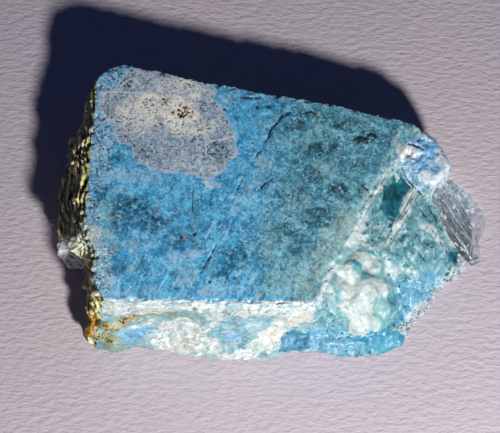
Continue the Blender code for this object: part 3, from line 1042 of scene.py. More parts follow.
FROM_FRONT = {
    "pool": [
        (11.2, 2.0, 2.4, 1.5, 0, 1.0),
        (2.1, 2.0, 1.7, 1.3, 0, 1.0),
    ],
    "green": [
        (-11.0, 5.4, 3.4, 0.7, 0, 1.0),
        (-16.2, 1.6, 1.4, 1.6, 0, 0.9),
        (5.5, 5.0, 1.6, 1.4, 0, 0.5),
    ],
    "deep": [
        (-2.6, 1.8, 0.7, 0.5, 0, 0.9),
        (-13.4, 2.6, 1.6, 0.6, 20, 0.4),
    ],
    "pale": [
        (-13.6, 7.4, 4.0, 1.2, 0, 1.0),
        (-7.6, 7.9, 3.0, 0.5, 0, 0.9),
        (-1.0, 7.3, 3.2, 1.0, 0, 0.9),
        (2.6, 6.0, 2.2, 1.6, 10, 1.0),
        (-9.6, 3.2, 2.6, 1.4, 35, 1.0),
        (-6.6, 4.4, 2.6, 0.5, 30, 0.8),
        (-8.8, 1.3, 3.4, 1.0, 10, 1.0),
        (0.2, 3.9, 1.9, 0.9, 40, 1.0),
        (-1.6, 1.8, 1.7, 0.9, 45, 1.0),
        (-4.4, 0.9, 2.2, 0.7, 0, 1.0),
        (-13.4, 4.2, 1.3, 0.5, 30, 0.8),
        (7.6, 0.5, 3.4, 0.4, 0, 0.7),
        (-5.4, 6.2, 2.0, 0.9, 0, 0.45),
    ],
    "sky": [
        (-5.0, 5.8, 2.0, 1.2, 0, 0.5),
        (-14.0, 3.0, 1.8, 1.1, 20, 1.0),
        (-4.2, 3.0, 1.8, 0.6, 0, 0.8),
        (6.0, 2.4, 3.2, 1.2, 0, 0.9),
        (10.4, 1.8, 2.4, 1.1, 0, 1.0),
    ],
    "cream": [
        (2.6, 5.4, 1.8, 0.9, 10, 0.9),
        (0.0, 3.0, 1.2, 0.9, 40, 0.8),
        (-9.0, 2.0, 3.4, 1.1, 20, 0.5),
        (-11.6, 7.0, 1.6, 0.6, 0, 0.6),
    ],
    "rust": [
        (-15.4, 5.2, 1.6, 0.8, 15, 1.0),
        (-16.9, 2.4, 0.9, 0.8, 0, 0.9),
        (-12.0, 6.2, 2.6, 0.22, 0, 0.7),
        (-17.9, 3.9, 0.9, 1.5, 0, 1.0),
        (-7.6, 7.6, 0.25, 0.3, 0, 1.0),
        (-4.7, 7.4, 0.3, 0.2, 0, 0.8),
    ],
}


def from_ovals(places, ovals):
    """The strongest oval at each place: its strength inside, fading to 0 across its edge."""
    found = np.zeros(len(places))
    for x, y, radius_x, radius_y, turn, strength in ovals:
        turn = math.radians(turn)
        gap = places - np.array((x, y))
        along = gap[:, 0] * math.cos(turn) + gap[:, 1] * math.sin(turn)
        across = gap[:, 1] * math.cos(turn) - gap[:, 0] * math.sin(turn)
        away = np.hypot(along / radius_x, across / radius_y)
        fade = soft_step(1.0 + OVAL_SOFTNESS, 1.0 - OVAL_SOFTNESS, away)
        found = np.maximum(found, strength * fade)
    return found


over_face = points[:, 2] > face_height(points[:, 0]) - CHIP_DEPTH
from_front = np.where(over_face & (points[:, 1] > FRONT_EDGE), 0.0, share["front"])
pushed = points
for size, amount in OVAL_WOBBLES:
    pushed = warped(pushed, size, amount)
for name, ovals in FROM_ABOVE.items():
    above = from_ovals(pushed[:, :2], ovals)
    ahead = from_ovals(pushed[:, [0, 2]], FROM_FRONT.get(name, []))
    give_points(stone, name, above + (ahead - above) * from_front)
print("attributes:", sorted(layer.name for layer in stone.data.attributes))

# %% [markdown]
# ## Tools for the materials
#
# Every material is built from nodes by one small function, which adds a node, sets it and links
# it. On top of it stand a few recipes that use several nodes each: clouds of noise, winding
# veils, fibres, crystal grains, stored marks with ragged edges, and layers of colour laid over
# one another. Patterns read Object coordinates, so their sizes are real sizes and they stay
# fixed to the stone. Patterns of one size get different shifts in millimetres, because two that
# read the same place in the noise would lie on top of each other.

# %% One function for a node, and recipes of several nodes
VEIL_NOISE = {"detail": 6.0, "roughness": 0.62, "distortion": 0.9}
CELL_NOISE_SIZE = 0.8
CELL_RAGGEDNESS = 0.9
CELL_SHIFT = 50.0
BUNDLE_SIZE = 2.6
BUNDLE_SHIFT = 20.0


def linear(hex_colour):
    """A linear colour from an sRGB hex value such as 4C94C2."""
    parts = [int(hex_colour[i : i + 2], 16) / 255 for i in (0, 2, 4)]
    low = [part / 12.92 for part in parts]
    high = [((part + 0.055) / 1.055) ** 2.4 for part in parts]
    return tuple(b if p > 0.04045 else a for p, a, b in zip(parts, low, high)) + (1.0,)


def add(tree, kind, inputs=None, **settings):
    """Adds one node. An input is a value, a hex colour, a socket, or a node's first output."""
    node = tree.nodes.new("ShaderNode" + kind)
    for name, value in settings.items():
        setattr(node, name, value)
    for name, value in (inputs or {}).items():
        socket = next(s for s in node.inputs if s.enabled and name in (s.name, s.identifier))
        if isinstance(value, bpy.types.Node):
            value = next(s for s in value.outputs if s.enabled)
        if isinstance(value, bpy.types.NodeSocket):
            tree.links.new(value, socket)
        elif isinstance(value, str):
            socket.default_value = linear(value)
        else:
            socket.default_value = value
    return node


def new_material(name, index_of_refraction):
    """A material with nodes: returns it, its tree, its shader and its Object coordinates."""
    material = bpy.data.materials.new(name)
    material.use_nodes = True
    tree = material.node_tree
    shader = tree.nodes["Principled BSDF"]
    shader.inputs["IOR"].default_value = index_of_refraction
    return material, tree, shader, add(tree, "TexCoord").outputs["Object"]


def grain(tree, place, size, detail=3.0, roughness=0.55, distortion=0.0, **spread):
    """Noise centred on 0.5, with features of this size in mm, stretched, turned and shifted."""
    turn = spread.get("turn", (0.0, 0.0, 0.0))
    shift = spread.get("shift", 0.0)
    where = {
        "Vector": place,
        "Location": (shift * MM, 0.7 * shift * MM, 0.3 * shift * MM),
        "Rotation": tuple(math.radians(angle) for angle in turn),
        "Scale": tuple(size * s * MM for s in spread.get("stretch", (1.0, 1.0, 1.0))),
    }
    where = add(tree, "Mapping", where, vector_type="TEXTURE")
    settings = {"Detail": detail, "Roughness": roughness, "Distortion": distortion}
    return add(tree, "TexNoise", {"Vector": where, "Scale": 1.0, **settings})


def clouds(tree, place, size, low, high, strength=1.0, **spread):
    """A mask of soft patches of this size: 0 where the noise is low, the strength where high."""
    value = grain(tree, place, size, **spread)
    steps = {"Value": value, "From Min": low, "From Max": high, "To Max": strength}
    return add(tree, "MapRange", steps, interpolation_type="SMOOTHSTEP")


def veils(tree, place, size, width, strength=1.0, **spread):
    """A mask of thin winding lines, where noise passes its middle value."""
    winding = grain(tree, place, size, **VEIL_NOISE, **spread)
    away = add(tree, "Math", {"Value": winding, "Value_001": 0.5}, operation="SUBTRACT")
    away = add(tree, "Math", {"Value": away}, operation="ABSOLUTE")
    steps = {"Value": away, "From Min": width, "From Max": 0.0, "To Max": strength}
    return add(tree, "MapRange", steps, interpolation_type="SMOOTHSTEP")


def cells(tree, place, size, low, high, strength=1.0, shift=0.0):
    """A mask of ragged crystal grains of this size, each with a random number of its own."""
    ragged = grain(tree, place, CELL_NOISE_SIZE * size, detail=2.0, shift=shift + CELL_SHIFT)
    amount = (CELL_RAGGEDNESS * size * MM,) * 3
    push = {"Vector": ragged.outputs["Color"], "Vector_001": amount}
    pushed = add(tree, "VectorMath", {**push, "Vector_002": place}, operation="MULTIPLY_ADD")
    found = add(tree, "TexVoronoi", {"Vector": pushed, "Scale": 1.0 / (size * MM)})
    lot = add(tree, "SeparateColor", {"Color": found.outputs["Color"]})
    steps = {"Value": lot, "From Min": low, "From Max": high, "To Max": strength}
    return add(tree, "MapRange", steps, interpolation_type="SMOOTHSTEP")


def fibres(tree, place, width, strength, turn, shift=0.0):
    """Two masks that belong together: long thin fibres that run one way, and their bundles."""
    spread = {"detail": 2.0, "shift": shift + BUNDLE_SHIFT}
    bundles = clouds(tree, place, BUNDLE_SIZE, 0.46, 0.62, **spread)
    along = {"stretch": (1.0, 12.0, 3.0), "turn": (0.0, 0.0, turn), "shift": shift}
    return clouds(tree, place, width, 0.55, 0.72, strength, **along), bundles


def marked(tree, name, noise_value, ragged, low, high, strength=1.0):
    """A mask that rises from low to high of a number stored on the skin, made ragged by noise."""
    stored = add(tree, "Attribute", attribute_name=name).outputs["Fac"]
    push = {"Value": noise_value, "Value_001": 2.0 * ragged, "Value_002": -ragged}
    push = add(tree, "Math", push, operation="MULTIPLY_ADD")
    value = add(tree, "Math", {"Value": stored, "Value_001": push})
    steps = {"Value": value, "From Min": low, "From Max": high, "To Max": strength}
    return add(tree, "MapRange", steps, interpolation_type="SMOOTHSTEP")


def paint(tree, base, *layers):
    """Lays colours over the base one after another, each where all of its masks are."""
    shown = base
    for mask, *others, colour in layers:
        for other in others:
            pair = {"Value": mask, "Value_001": other}
            mask = add(tree, "Math", pair, operation="MULTIPLY")
        shown = add(tree, "Mix", {"Factor": mask, "A": shown, "B": colour}, data_type="RGBA")
    return shown


def finish_with(tree, shader, colour, roughness, bumps):
    """Links the colour, a roughness of (low, high, value) and bumps of (height in mm, value)."""
    tree.links.new(next(s for s in colour.outputs if s.enabled), shader.inputs["Base Color"])
    low, high, value = roughness
    rough = add(tree, "MapRange", {"Value": value, "To Min": low, "To Max": high})
    tree.links.new(rough.outputs["Result"], shader.inputs["Roughness"])
    height = 0.0
    for millimetres, value in bumps:
        raised = {"Value": value, "Value_001": millimetres * MM, "Value_002": height}
        height = add(tree, "Math", raised, operation="MULTIPLY_ADD")
    bump = add(tree, "Bump", {"Height": height, "Distance": 1.0})
    tree.links.new(bump.outputs["Normal"], shader.inputs["Normal"])


print("test colour:", [round(part, 3) for part in linear("4C94C2")])

# %% [markdown]
# ## Sawn larimar
#
# The saw leaves pectolite flat and dull, with its fibres cut across. The eye sees a cloudy blue
# that turns to sea green on the right, darker where the stone is clearer and one looks deeper
# in, with pale veils and felted fibres. The clouds are 1 to 3 mm across, the felt half a
# millimetre, and the salt and pepper grains, which lie along the bruised edges, 0.2 mm. The
# front edge has a white lip. The grey patch is calcite with a cream heart, full of tiny black and
# white grains. One noise with more detail would give every size of mark the same contrast, so
# each size is a layer of its own. The bumps are only hundredths of a millimetre, as a saw leaves.

# %% The sawn faces
TANGLED = {"detail": 7.0, "roughness": 0.72, "distortion": 0.6}
FELTED = {"detail": 4.0, "roughness": 0.62, "distortion": 1.4}


def calcite_patch(tree, place, ragged):
    """Grey calcite: a cloudy ground with black grains, white grains and a cream heart."""
    cream = marked(tree, "cream", ragged, 1.0, 0.0, 1.1)
    slate = marked(tree, "slate", ragged, 0.5, 0.2, 0.8)
    rust = marked(tree, "rust", ragged, 1.6, 0.35, 0.65)
    gathered = clouds(tree, place, 1.3, 0.44, 0.6, detail=4.0, shift=6.0)
    return paint(
        tree,
        "7091AC",
        (clouds(tree, place, 1.1, 0.36, 0.6, shift=1.5, **TANGLED), "AEBCCA"),
        (slate, clouds(tree, place, 0.8, 0.3, 0.6, 0.9), "64828E"),
        (clouds(tree, place, 0.45, 0.5, 0.64, 0.6, shift=1.0, **TANGLED), "52687C"),
        (cream, "C6C2BA"),
        (cream, clouds(tree, place, 0.8, 0.38, 0.52, 0.95, shift=2.5, **TANGLED), "FCF6E4"),
        (clouds(tree, place, 0.26, 0.5, 0.62, 0.7, shift=4.5, **TANGLED), "E6ECF0"),
        (clouds(tree, place, 0.26, 0.52, 0.62, 0.7, shift=8.5, **TANGLED), "3A4A58"),
        (rust, clouds(tree, place, 0.4, 0.48, 0.56, 0.8), "A87A42"),
        (cells(tree, place, 0.16, 0.95, 0.97, 0.7), "3A4248"),
        (cells(tree, place, 0.18, 0.84, 0.88, 0.85, shift=2.0), gathered, "20262C"),
        (slate, cells(tree, place, 0.18, 0.78, 0.85, 0.8, shift=7.0), "1E2A30"),
        (rust, cells(tree, place, 0.2, 0.66, 0.72, shift=8.0), "1A140D"),
    )


def sawn_material():
    material, tree, shader, place = new_material("sawn_pectolite", 1.6)
    ragged = grain(tree, place, 1.0, detail=7.0, roughness=0.68, distortion=0.4)
    fine = grain(tree, place, 0.3)
    slanted = {"stretch": (1.0, 2.2, 1.0), "turn": (0.0, 0.0, -24.0)}
    sprayed = {"stretch": (1.0, 6.0, 2.0), "turn": (0.0, 0.0, -22.0), "shift": 43.0}
    light = clouds(tree, place, 2.6, 0.37, 0.64, detail=9.0, roughness=0.76, distortion=0.6)
    green = marked(tree, "green", ragged, 0.8, 0.0, 1.0)
    sky = marked(tree, "sky", ragged, 0.7, 0.0, 1.0, 0.6)
    deep = marked(tree, "deep", ragged, 1.5, 0.1, 1.2)
    needled = marked(tree, "needled", ragged, 0.5, 0.1, 0.9)
    vein = marked(tree, "vein", fine, 0.9, 1.7, 0.3)
    gathered = clouds(tree, place, 2.2, 0.42, 0.6, detail=4.0, shift=41.0)
    pale = marked(tree, "pale", ragged, 1.0, 0.1, 1.0, 0.7)
    cream = marked(tree, "cream", ragged, 1.3, 0.2, 0.8, 0.9)
    frosted = marked(tree, "frosted", ragged, 0.9, 0.1, 0.7, 0.9)
    bruise = marked(tree, "inset", ragged, 0.8, 0.6, 0.0, 0.75)

    def tone(blue, sea_green):
        """A blue that turns to a sea green on the right."""
        return paint(tree, blue, (green, sea_green))

    across = {"shift": 9.0, **slanted, **TANGLED}
    lip = marked(tree, "lip", fine, 0.5, 0.3, 0.0, 0.95)
    stone_colour = paint(
        tree,
        tone("1E8EC6", "247890"),
        (light, tone("78D0F4", "84C8D6")),
        (sky, "4CC4F0"),
        (pale, tone("A8CADC", "B0CCC0")),
        (deep, tone("0C7094", "125F6C")),
        (bruise, "8AAFC4"),
        (frosted, "8CB2C8"),
        (clouds(tree, place, 1.7, 0.46, 0.6, 0.6, shift=31.0, **TANGLED), tone("0E7AAA", "126C82")),
        (clouds(tree, place, 0.9, 0.48, 0.6, 0.75, **across), tone("066894", "0C586E")),
        (clouds(tree, place, 0.8, 0.53, 0.64, 0.75, shift=7.0, **TANGLED), tone("94DAF4", "9CD0D6")),
        (veils(tree, place, 1.5, 0.025, 0.4), "A9D8E8"),
        (clouds(tree, place, 0.55, 0.47, 0.64, 0.75, shift=17.0, **FELTED), tone("086C98", "0C5A70")),
        (clouds(tree, place, 0.5, 0.52, 0.68, 0.8, shift=19.0, **FELTED), tone("8CDAFA", "A2D6E2")),
        (clouds(tree, place, 0.5, 0.53, 0.67, 0.7, shift=27.0, **FELTED), gathered, "083C50"),
        (deep, clouds(tree, place, 0.6, 0.44, 0.57, shift=37.0, **FELTED), tone("033C50", "022530")),
        (needled, *fibres(tree, place, 0.2, 0.6, -22.0, shift=35.0), "0F5E86"),
        (needled, clouds(tree, place, 0.3, 0.5, 0.72, 0.6, **sprayed), tone("BCE4F2", "B0D8D2")),
        (pale, clouds(tree, place, 1.0, 0.38, 0.6, 0.7, shift=39.0, **TANGLED), tone("AED8EC", "B4D2C4")),
        (cream, "AEBCB4"),
        (cream, clouds(tree, place, 0.4, 0.48, 0.6, 0.9, shift=12.0, **FELTED), "E4E8DC"),
        (cream, clouds(tree, place, 0.3, 0.54, 0.62, 0.8, shift=14.0, **FELTED), "6E8A92"),
        (lip, "EEECE4"),
        (lip, clouds(tree, place, 0.4, 0.5, 0.62, 0.7, shift=29.0, **TANGLED), "B4C8CC"),
        (vein, clouds(tree, place, 0.4, 0.36, 0.6, 0.8, shift=2.0, **slanted), "B4D2D4"),
    )
    seam = marked(tree, "seam", fine, 0.7, 1.6, 0.5, 0.9)
    rim = marked(tree, "patch", ragged, 0.6, -0.15, 0.0)
    salt = cells(tree, place, 0.2, 0.75, 0.9, 0.8, shift=21.0)
    pepper = cells(tree, place, 0.18, 0.86, 0.9, 0.9, shift=23.0)
    broken = clouds(tree, place, 1.2, 0.36, 0.5, shift=27.0)
    flaw = marked(tree, "crack", fine, 1.6, 1.6, 0.4)
    colour = paint(
        tree,
        stone_colour,
        (bruise, salt, "E2ECF0"),
        (frosted, salt, "D2E2EE"),
        (bruise, pepper, "1C3844"),
        (marked(tree, "patch", ragged, 0.6, 0.1, -0.1), calcite_patch(tree, place, ragged)),
        (marked(tree, "patch", ragged, 0.6, 0.24, 0.1, 0.6), rim, broken, "BFCDD8"),
        (frosted, pepper, "0E1C26"),
        (seam, clouds(tree, place, 0.5, 0.36, 0.54), "CBD3DA"),
        (flaw, broken, "06161C"),
    )
    finish_with(tree, shader, colour, (0.5, 0.72, fine), [(0.012, fine), (0.03, ragged)])
    return material


# %% [markdown]
# ## Splintery pectolite
#
# Where the slab broke, the needles of pectolite stand out as white splinters, with blue between
# them. The relief is stored on the points: raised parts are painted whiter, partly the splinters'
# own white and partly a painted highlight, and grooves are painted darker as painted shade, so the
# colour follows the shape. Iron has stained the left corner olive and ochre, and low on the front
# lie two smooth pools of deeper blue.

# %% The broken front and back


def splinters_and_painted_light(tree, place, fine, white, dark):
    """Whiter crests, partly a painted highlight, painted shade in the grooves, and dark grains, as layers
    to lay over a colour.
    """
    return (
        # Painted shade darkens the grooves, and a painted highlight whitens the raised crests.
        (marked(tree, "raised", fine, 0.9, 0.0, -1.1, dark), "2F7890"),
        (marked(tree, "raised", fine, 0.9, 0.0, 1.1, white), "C6D6DA"),
        (clouds(tree, place, 0.32, 0.52, 0.66, dark, shift=8.0), "2F728C"),
    )


def splintery_material():
    material, tree, shader, place = new_material("splintery_pectolite", 1.6)
    along = {"stretch": (2.2, 1.0, 1.0), "turn": (0.0, -30.0, 0.0)}
    level = {"stretch": (2.0, 1.0, 0.8)}
    ragged = grain(tree, place, 1.2, detail=7.0, roughness=0.7, distortion=0.5, **level)
    fine = grain(tree, place, 0.3, **along)
    rust = marked(tree, "rust", ragged, 0.9, 0.2, 0.8)
    pale = marked(tree, "pale", ragged, 1.4, 0.25, 0.6, 0.95)
    deep = marked(tree, "deep", ragged, 0.6, 0.3, 0.6)
    pool = marked(tree, "pool", ragged, 0.4, 0.35, 0.6, 0.95)
    colour = paint(
        tree,
        "6E9EA8",
        (clouds(tree, place, 1.4, 0.4, 0.6, **TANGLED, **level), "96B4B8"),
        (marked(tree, "green", ragged, 0.8, 0.2, 0.7, 0.8), "7C9274"),
        (marked(tree, "sky", ragged, 0.9, 0.2, 0.7, 0.9), "6CACCC"),
        (clouds(tree, place, 0.7, 0.5, 0.64, 0.6, shift=5.0, **TANGLED, **along), "B8C8C8"),
        (clouds(tree, place, 0.5, 0.54, 0.66, 0.6, shift=25.0, **TANGLED, **along), "4A7E90"),
        # Painted highlight on the raised crests and painted shade in the grooves.
        *splinters_and_painted_light(tree, place, fine, 0.4, 0.35),
        (deep, "3A7C9C"),
        (pale, "BCC4C0"),
        (pale, clouds(tree, place, 0.6, 0.5, 0.6, 0.8, shift=14.0, **TANGLED, **along), "7FA0A4"),
        (marked(tree, "cream", ragged, 1.0, 0.25, 0.65, 0.9), "C4C1B4"),
        (pale, clouds(tree, place, 0.45, 0.5, 0.6, 0.9, shift=16.0, **TANGLED), "E4E4DC"),
        (clouds(tree, place, 0.4, 0.58, 0.66, 0.7, shift=18.0, **TANGLED), "D8E0DE"),
        (clouds(tree, place, 0.3, 0.56, 0.64, 0.7, shift=13.0, **TANGLED), "5C7C80"),
        (rust, clouds(tree, place, 0.9, 0.3, 0.6, 0.85, shift=2.0), "989452"),
        (rust, clouds(tree, place, 0.5, 0.48, 0.58, 0.9), "B8942E"),
        (rust, clouds(tree, place, 0.35, 0.53, 0.6, shift=9.0), "2C2712"),
        (pool, "2A7598"),
        (pool, clouds(tree, place, 0.9, 0.48, 0.62, 0.8, shift=33.0, **TANGLED), "5A98B4"),
        (pool, cells(tree, place, 0.22, 0.95, 0.97), "1C3E50"),
        (veils(tree, place, 1.8, 0.012, 0.9, shift=15.0, **along), "3E5A5C"),
        (marked(tree, "crack", fine, 0.7, 1.5, 0.6), "25383C"),
    )
    finish_with(tree, shader, colour, (0.35, 0.6, fine), [(0.05, fine), (0.07, ragged)])
    return material


# %% [markdown]
# ## Iron crust
#
# Water that carried iron left a skin of goethite in thin layers. The colour is chosen by the
# stored relief, which keeps it on the ledges: the grooves are nearly black, dark goethite with
# painted shade, the layers' edges are olive, partly their own olive and partly a painted highlight,
# and the highest of them are pale, a painted highlight. The lump on the front corner is ochre with
# dark cracks, and the one over the bud is cream.

# %% The crust on the left


def crust_material():
    material, tree, shader, place = new_material("goethite_crust", 1.7)
    ragged = grain(tree, place, 0.8, detail=6.0, roughness=0.68)
    fine = grain(tree, place, 0.22)
    rust = marked(tree, "rust", ragged, 0.8, 0.2, 0.8)
    pale = marked(tree, "pale", ragged, 0.8, 0.3, 0.7, 0.9)
    cream = marked(tree, "cream", ragged, 0.6, 0.2, 0.7)
    gold = marked(tree, "gold", ragged, 0.3, -0.2, 0.2)
    olive_and_highlight = paint(
        tree,
        "AFA236",
        (clouds(tree, place, 0.9, 0.46, 0.62, 0.9, detail=5.0), "E0D488"),
        (rust, "DC9E20"),
        (rust, clouds(tree, place, 0.5, 0.48, 0.6), "F4CC50"),
    )
    # Painted shade and painted highlight by the stored relief: near black in the grooves, olive on the
    # ledges, pale on the highest.
    colour = paint(
        tree,
        "070604",
        (marked(tree, "raised", fine, 0.7, -0.65, -0.4, 0.9), "7A7038"),
        (marked(tree, "raised", fine, 0.7, -0.45, -0.15), olive_and_highlight),
        (marked(tree, "raised", fine, 0.7, 0.0, 0.35), "F4E8AC"),
        (gold, marked(tree, "raised", fine, 0.6, -0.9, 0.0), "E0A02A"),
        (gold, clouds(tree, place, 0.5, 0.52, 0.58, 0.9, shift=6.0), "F4CC68"),
        (gold, veils(tree, place, 0.8, 0.04, 1.0, shift=16.0), "2A1A06"),
        (pale, "D2DAD6"),
        (cream, "C8CCB2"),
        (cream, clouds(tree, place, 0.5, 0.5, 0.62, 0.8, shift=12.0), "ECF0E0"),
        (cream, clouds(tree, place, 0.4, 0.52, 0.6, 0.8, shift=14.0), "7E8668"),
        (pale, cells(tree, place, 0.22, 0.74, 0.8), "1C1F1A"),
        (veils(tree, place, 1.0, 0.016, 0.9, shift=5.0, stretch=(1.0, 3.0, 1.0)), "0A0906"),
    )
    finish_with(tree, shader, colour, (0.4, 0.75, fine), [(0.06, fine), (0.08, ragged)])
    return material


# %% [markdown]
# ## The sloping end
#
# This side is the prettiest: sea green and sky blue needles, white veins, and one clear window
# of dark teal where the surface happens to be smooth and one sees into the stone. Noise that is
# stretched along the needles draws them. The window is drawn as a dark colour, not as clear
# stone, because behind it there is only more stone.

# %% The slope


def slope_material():
    material, tree, shader, place = new_material("needled_pectolite", 1.6)
    ragged = grain(tree, place, 0.9, detail=7.0, roughness=0.68, distortion=0.5)
    fine = grain(tree, place, 0.3)
    needles = {"stretch": (1.0, 5.0, 2.0), "turn": (0.0, 0.0, NEEDLE_TURN)}
    needle = grain(tree, place, 0.16, **needles)
    light = clouds(tree, place, 1.6, 0.36, 0.62, detail=8.0, roughness=0.74, distortion=0.6)
    vein = marked(tree, "vein", fine, 0.9, 1.9, 0.5)
    strands = {"stretch": (1.0, 9.0, 3.0), "turn": (0.0, 0.0, -27.0)}
    clear = marked(tree, "deep", ragged, 0.4, 0.3, 0.6)
    broken = clouds(tree, place, 0.7, 0.42, 0.54, shift=27.0)
    sky = marked(tree, "sky", ragged, 0.7, 0.0, 1.0, 0.85)
    pool = marked(tree, "pool", ragged, 0.4, 0.35, 0.6, 0.95)
    colour = paint(
        tree,
        paint(tree, "287282", (light, "78AEB4")),
        (marked(tree, "green", ragged, 0.6, 0.0, 1.0, 0.5), "3E7C7A"),
        (sky, paint(tree, "3088AE", (light, "60A8C6"))),
        (clouds(tree, place, 0.55, 0.52, 0.64, 0.7, shift=12.0, **TANGLED), "1F6478"),
        (clouds(tree, place, 0.5, 0.54, 0.68, 0.7, shift=22.0, **needles), "B4D0D6"),
        # Painted highlight on the raised crests and painted shade in the grooves.
        *splinters_and_painted_light(tree, place, needle, 0.3, 0.45),
        (marked(tree, "pale", ragged, 1.3, 0.1, 1.0, 0.9), "BCCACA"),
        (marked(tree, "cream", ragged, 1.0, 0.2, 1.0, 0.75), "C4C4B4"),
        (veils(tree, place, 0.9, 0.025, 0.5, shift=3.0), "BED4D6"),
        (clear, "12606E"),
        (clear, clouds(tree, place, 0.9, 0.42, 0.62), "063C48"),
        (clear, clouds(tree, place, 0.5, 0.52, 0.68, 0.75, shift=5.0, **TANGLED), "4593A2"),
        (vein, clouds(tree, place, 0.22, 0.34, 0.58, 0.95, **strands), "C6D0CC"),
        (marked(tree, "crack", fine, 1.4, 1.6, 0.5), broken, "0A222A"),
        (cells(tree, place, 0.22, 0.96, 0.98, 0.8), "123843"),
        (pool, "2C809C"),
        (pool, clouds(tree, place, 1.2, 0.42, 0.62, 0.8, shift=33.0, **TANGLED), "60A4BC"),
    )
    finish_with(tree, shader, colour, (0.22, 0.5, fine), [(0.05, needle), (0.05, ragged)])
    return material


# %% [markdown]
# ## Knobs of white pectolite
#
# Fibres that grow outwards from many points meet as round knobs, like a cauliflower. They are
# mint white and a little waxy, with teal between them. On the mint, the fine creases, where the
# stored relief is lowest, are painted darker teal as painted shade, and the highest parts lighter
# as a painted highlight, so both stay in the right places from every side.

# %% The knobs


def knobs_material():
    material, tree, shader, place = new_material("botryoidal_pectolite", 1.6)
    ragged = grain(tree, place, 0.9, detail=6.0, roughness=0.65)
    fine = grain(tree, place, 0.3)
    mint = marked(tree, "mint", ragged, 0.7, 0.25, 0.75)
    colour = paint(
        tree,
        "609CA4",
        (clouds(tree, place, 1.2, 0.4, 0.58, **TANGLED), "92B6B6"),
        (mint, "A9BCB8"),
        (mint, clouds(tree, place, 1.0, 0.42, 0.56, shift=3.0, **TANGLED), "BDC6C0"),
        # Painted shade: darker teal in the creases, where the stored relief is lowest.
        (mint, marked(tree, "raised", fine, 0.5, -0.1, -0.7, 0.8), "70999C"),
        # Painted highlight: lighter mint where the stored relief is highest.
        (mint, marked(tree, "raised", fine, 0.4, 0.2, 0.7, 0.6), "C4CBC6"),
        (marked(tree, "cream", ragged, 0.5, 0.2, 0.8, 0.7), "BDB7A6"),
        (marked(tree, "deep", ragged, 0.6, 0.2, 0.8, 0.85), "2F8496"),
        (veils(tree, place, 1.1, 0.015, 0.6), "6E9CA0"),
        (marked(tree, "crack", fine, 0.7, 1.5, 0.6), "3A5C60"),
        (cells(tree, place, 0.2, 0.95, 0.97, 0.8), ragged, "7A7A62"),
    )
    finish_with(tree, shader, colour, (0.36, 0.58, fine), [(0.03, fine), (0.06, ragged)])
    return material


# %% [markdown]
# ## The frosted corner
#
# The block on the far corner is sky blue inside and frosted white along its edges. Its edges are
# too worn to be found by their sharpness, so the white is placed with soft ovals and broken up
# with noise.

# %% The boss


def boss_material():
    material, tree, shader, place = new_material("frosted_pectolite", 1.6)
    ragged = grain(tree, place, 0.7, detail=7.0, roughness=0.68, distortion=0.5)
    fine = grain(tree, place, 0.22)
    colour = paint(
        tree,
        "7CA8C4",
        (marked(tree, "sky", ragged, 1.0, 0.0, 1.0, 0.9), "62AEE0"),
        (clouds(tree, place, 0.8, 0.46, 0.6, 0.85, **TANGLED), "C2DEEE"),
        (clouds(tree, place, 0.55, 0.55, 0.64, 0.9, shift=4.0, **TANGLED), "26648C"),
        (marked(tree, "pale", ragged, 1.1, 0.2, 0.95, 0.9), "DDE4E6"),
        (marked(tree, "cream", ragged, 0.7, 0.2, 0.8, 0.9), "F0ECDA"),
        (cells(tree, place, 0.22, 0.94, 0.96, 0.8), "22414F"),
        (cells(tree, place, 0.22, 0.94, 0.97, 0.8, shift=5.0), "F4F8FA"),
        (veils(tree, place, 1.4, 0.018, 0.85, shift=7.0), "1D3E4C"),
        (marked(tree, "crack", fine, 0.7, 1.5, 0.6), "0C2228"),
    )
    finish_with(tree, shader, colour, (0.22, 0.5, fine), [(0.05, fine), (0.07, ragged)])
    return material


# %% [markdown]
# ## Clear, frosted and milky calcite
#
# Calcite has no colour of its own. Clear calcite is see-through by plain transmission, with
# calcite's refraction of about 1.6 and a little grey absorption. A cleavage crest, a broken edge
# or a small grain is full of tiny cracks, and those scatter light and look frosted. Calcite that
# grew fast caught bubbles and is milky. Single cracks and bubbles are far too small to model, so
# the frosted and the milky kinds let less light through and have a white colour.

# %% The three calcites
CALCITE_IOR = 1.6


def clear_calcite_material():
    material, tree, shader, place = new_material("clear_calcite", CALCITE_IOR)
    fine = grain(tree, place, 0.25)
    ragged = grain(tree, place, 1.0, detail=5.0)
    shader.inputs["Transmission Weight"].default_value = 1.0
    colour = paint(
        tree,
        "D3DAE0",
        (clouds(tree, place, 0.8, 0.5, 0.65, 0.6, detail=5.0), "A9B3BC"),
        (cells(tree, place, 0.25, 0.94, 0.97, 0.7), "4B555C"),
    )
    finish_with(tree, shader, colour, (0.1, 0.35, ragged), [(0.02, fine), (0.05, ragged)])
    output = next(node for node in tree.nodes if node.type == "OUTPUT_MATERIAL")
    absorbed = add(tree, "VolumeAbsorption", {"Color": "A6A9AE", "Density": 290.0})
    tree.links.new(absorbed.outputs["Volume"], output.inputs["Volume"])
    return material


def frosted_calcite_material():
    material, tree, shader, place = new_material("frosted_calcite", CALCITE_IOR)
    fine = grain(tree, place, 0.2)
    shader.inputs["Transmission Weight"].default_value = 0.2
    colour = paint(
        tree,
        "CAD0D4",
        (clouds(tree, place, 0.4, 0.45, 0.6), "8C969F"),
        (cells(tree, place, 0.22, 0.85, 0.95, 0.7), "F4F6F7"),
    )
    finish_with(tree, shader, colour, (0.3, 0.6, fine), [(0.04, fine)])
    return material


def milky_calcite_material():
    material, tree, shader, place = new_material("milky_calcite", CALCITE_IOR)
    fine = grain(tree, place, 0.2)
    shader.inputs["Transmission Weight"].default_value = 0.3
    colour = paint(tree, "F2F0F0", (clouds(tree, place, 0.6, 0.45, 0.6), "C6CACE"))
    finish_with(tree, shader, colour, (0.3, 0.55, fine), [(0.02, fine)])
    return material


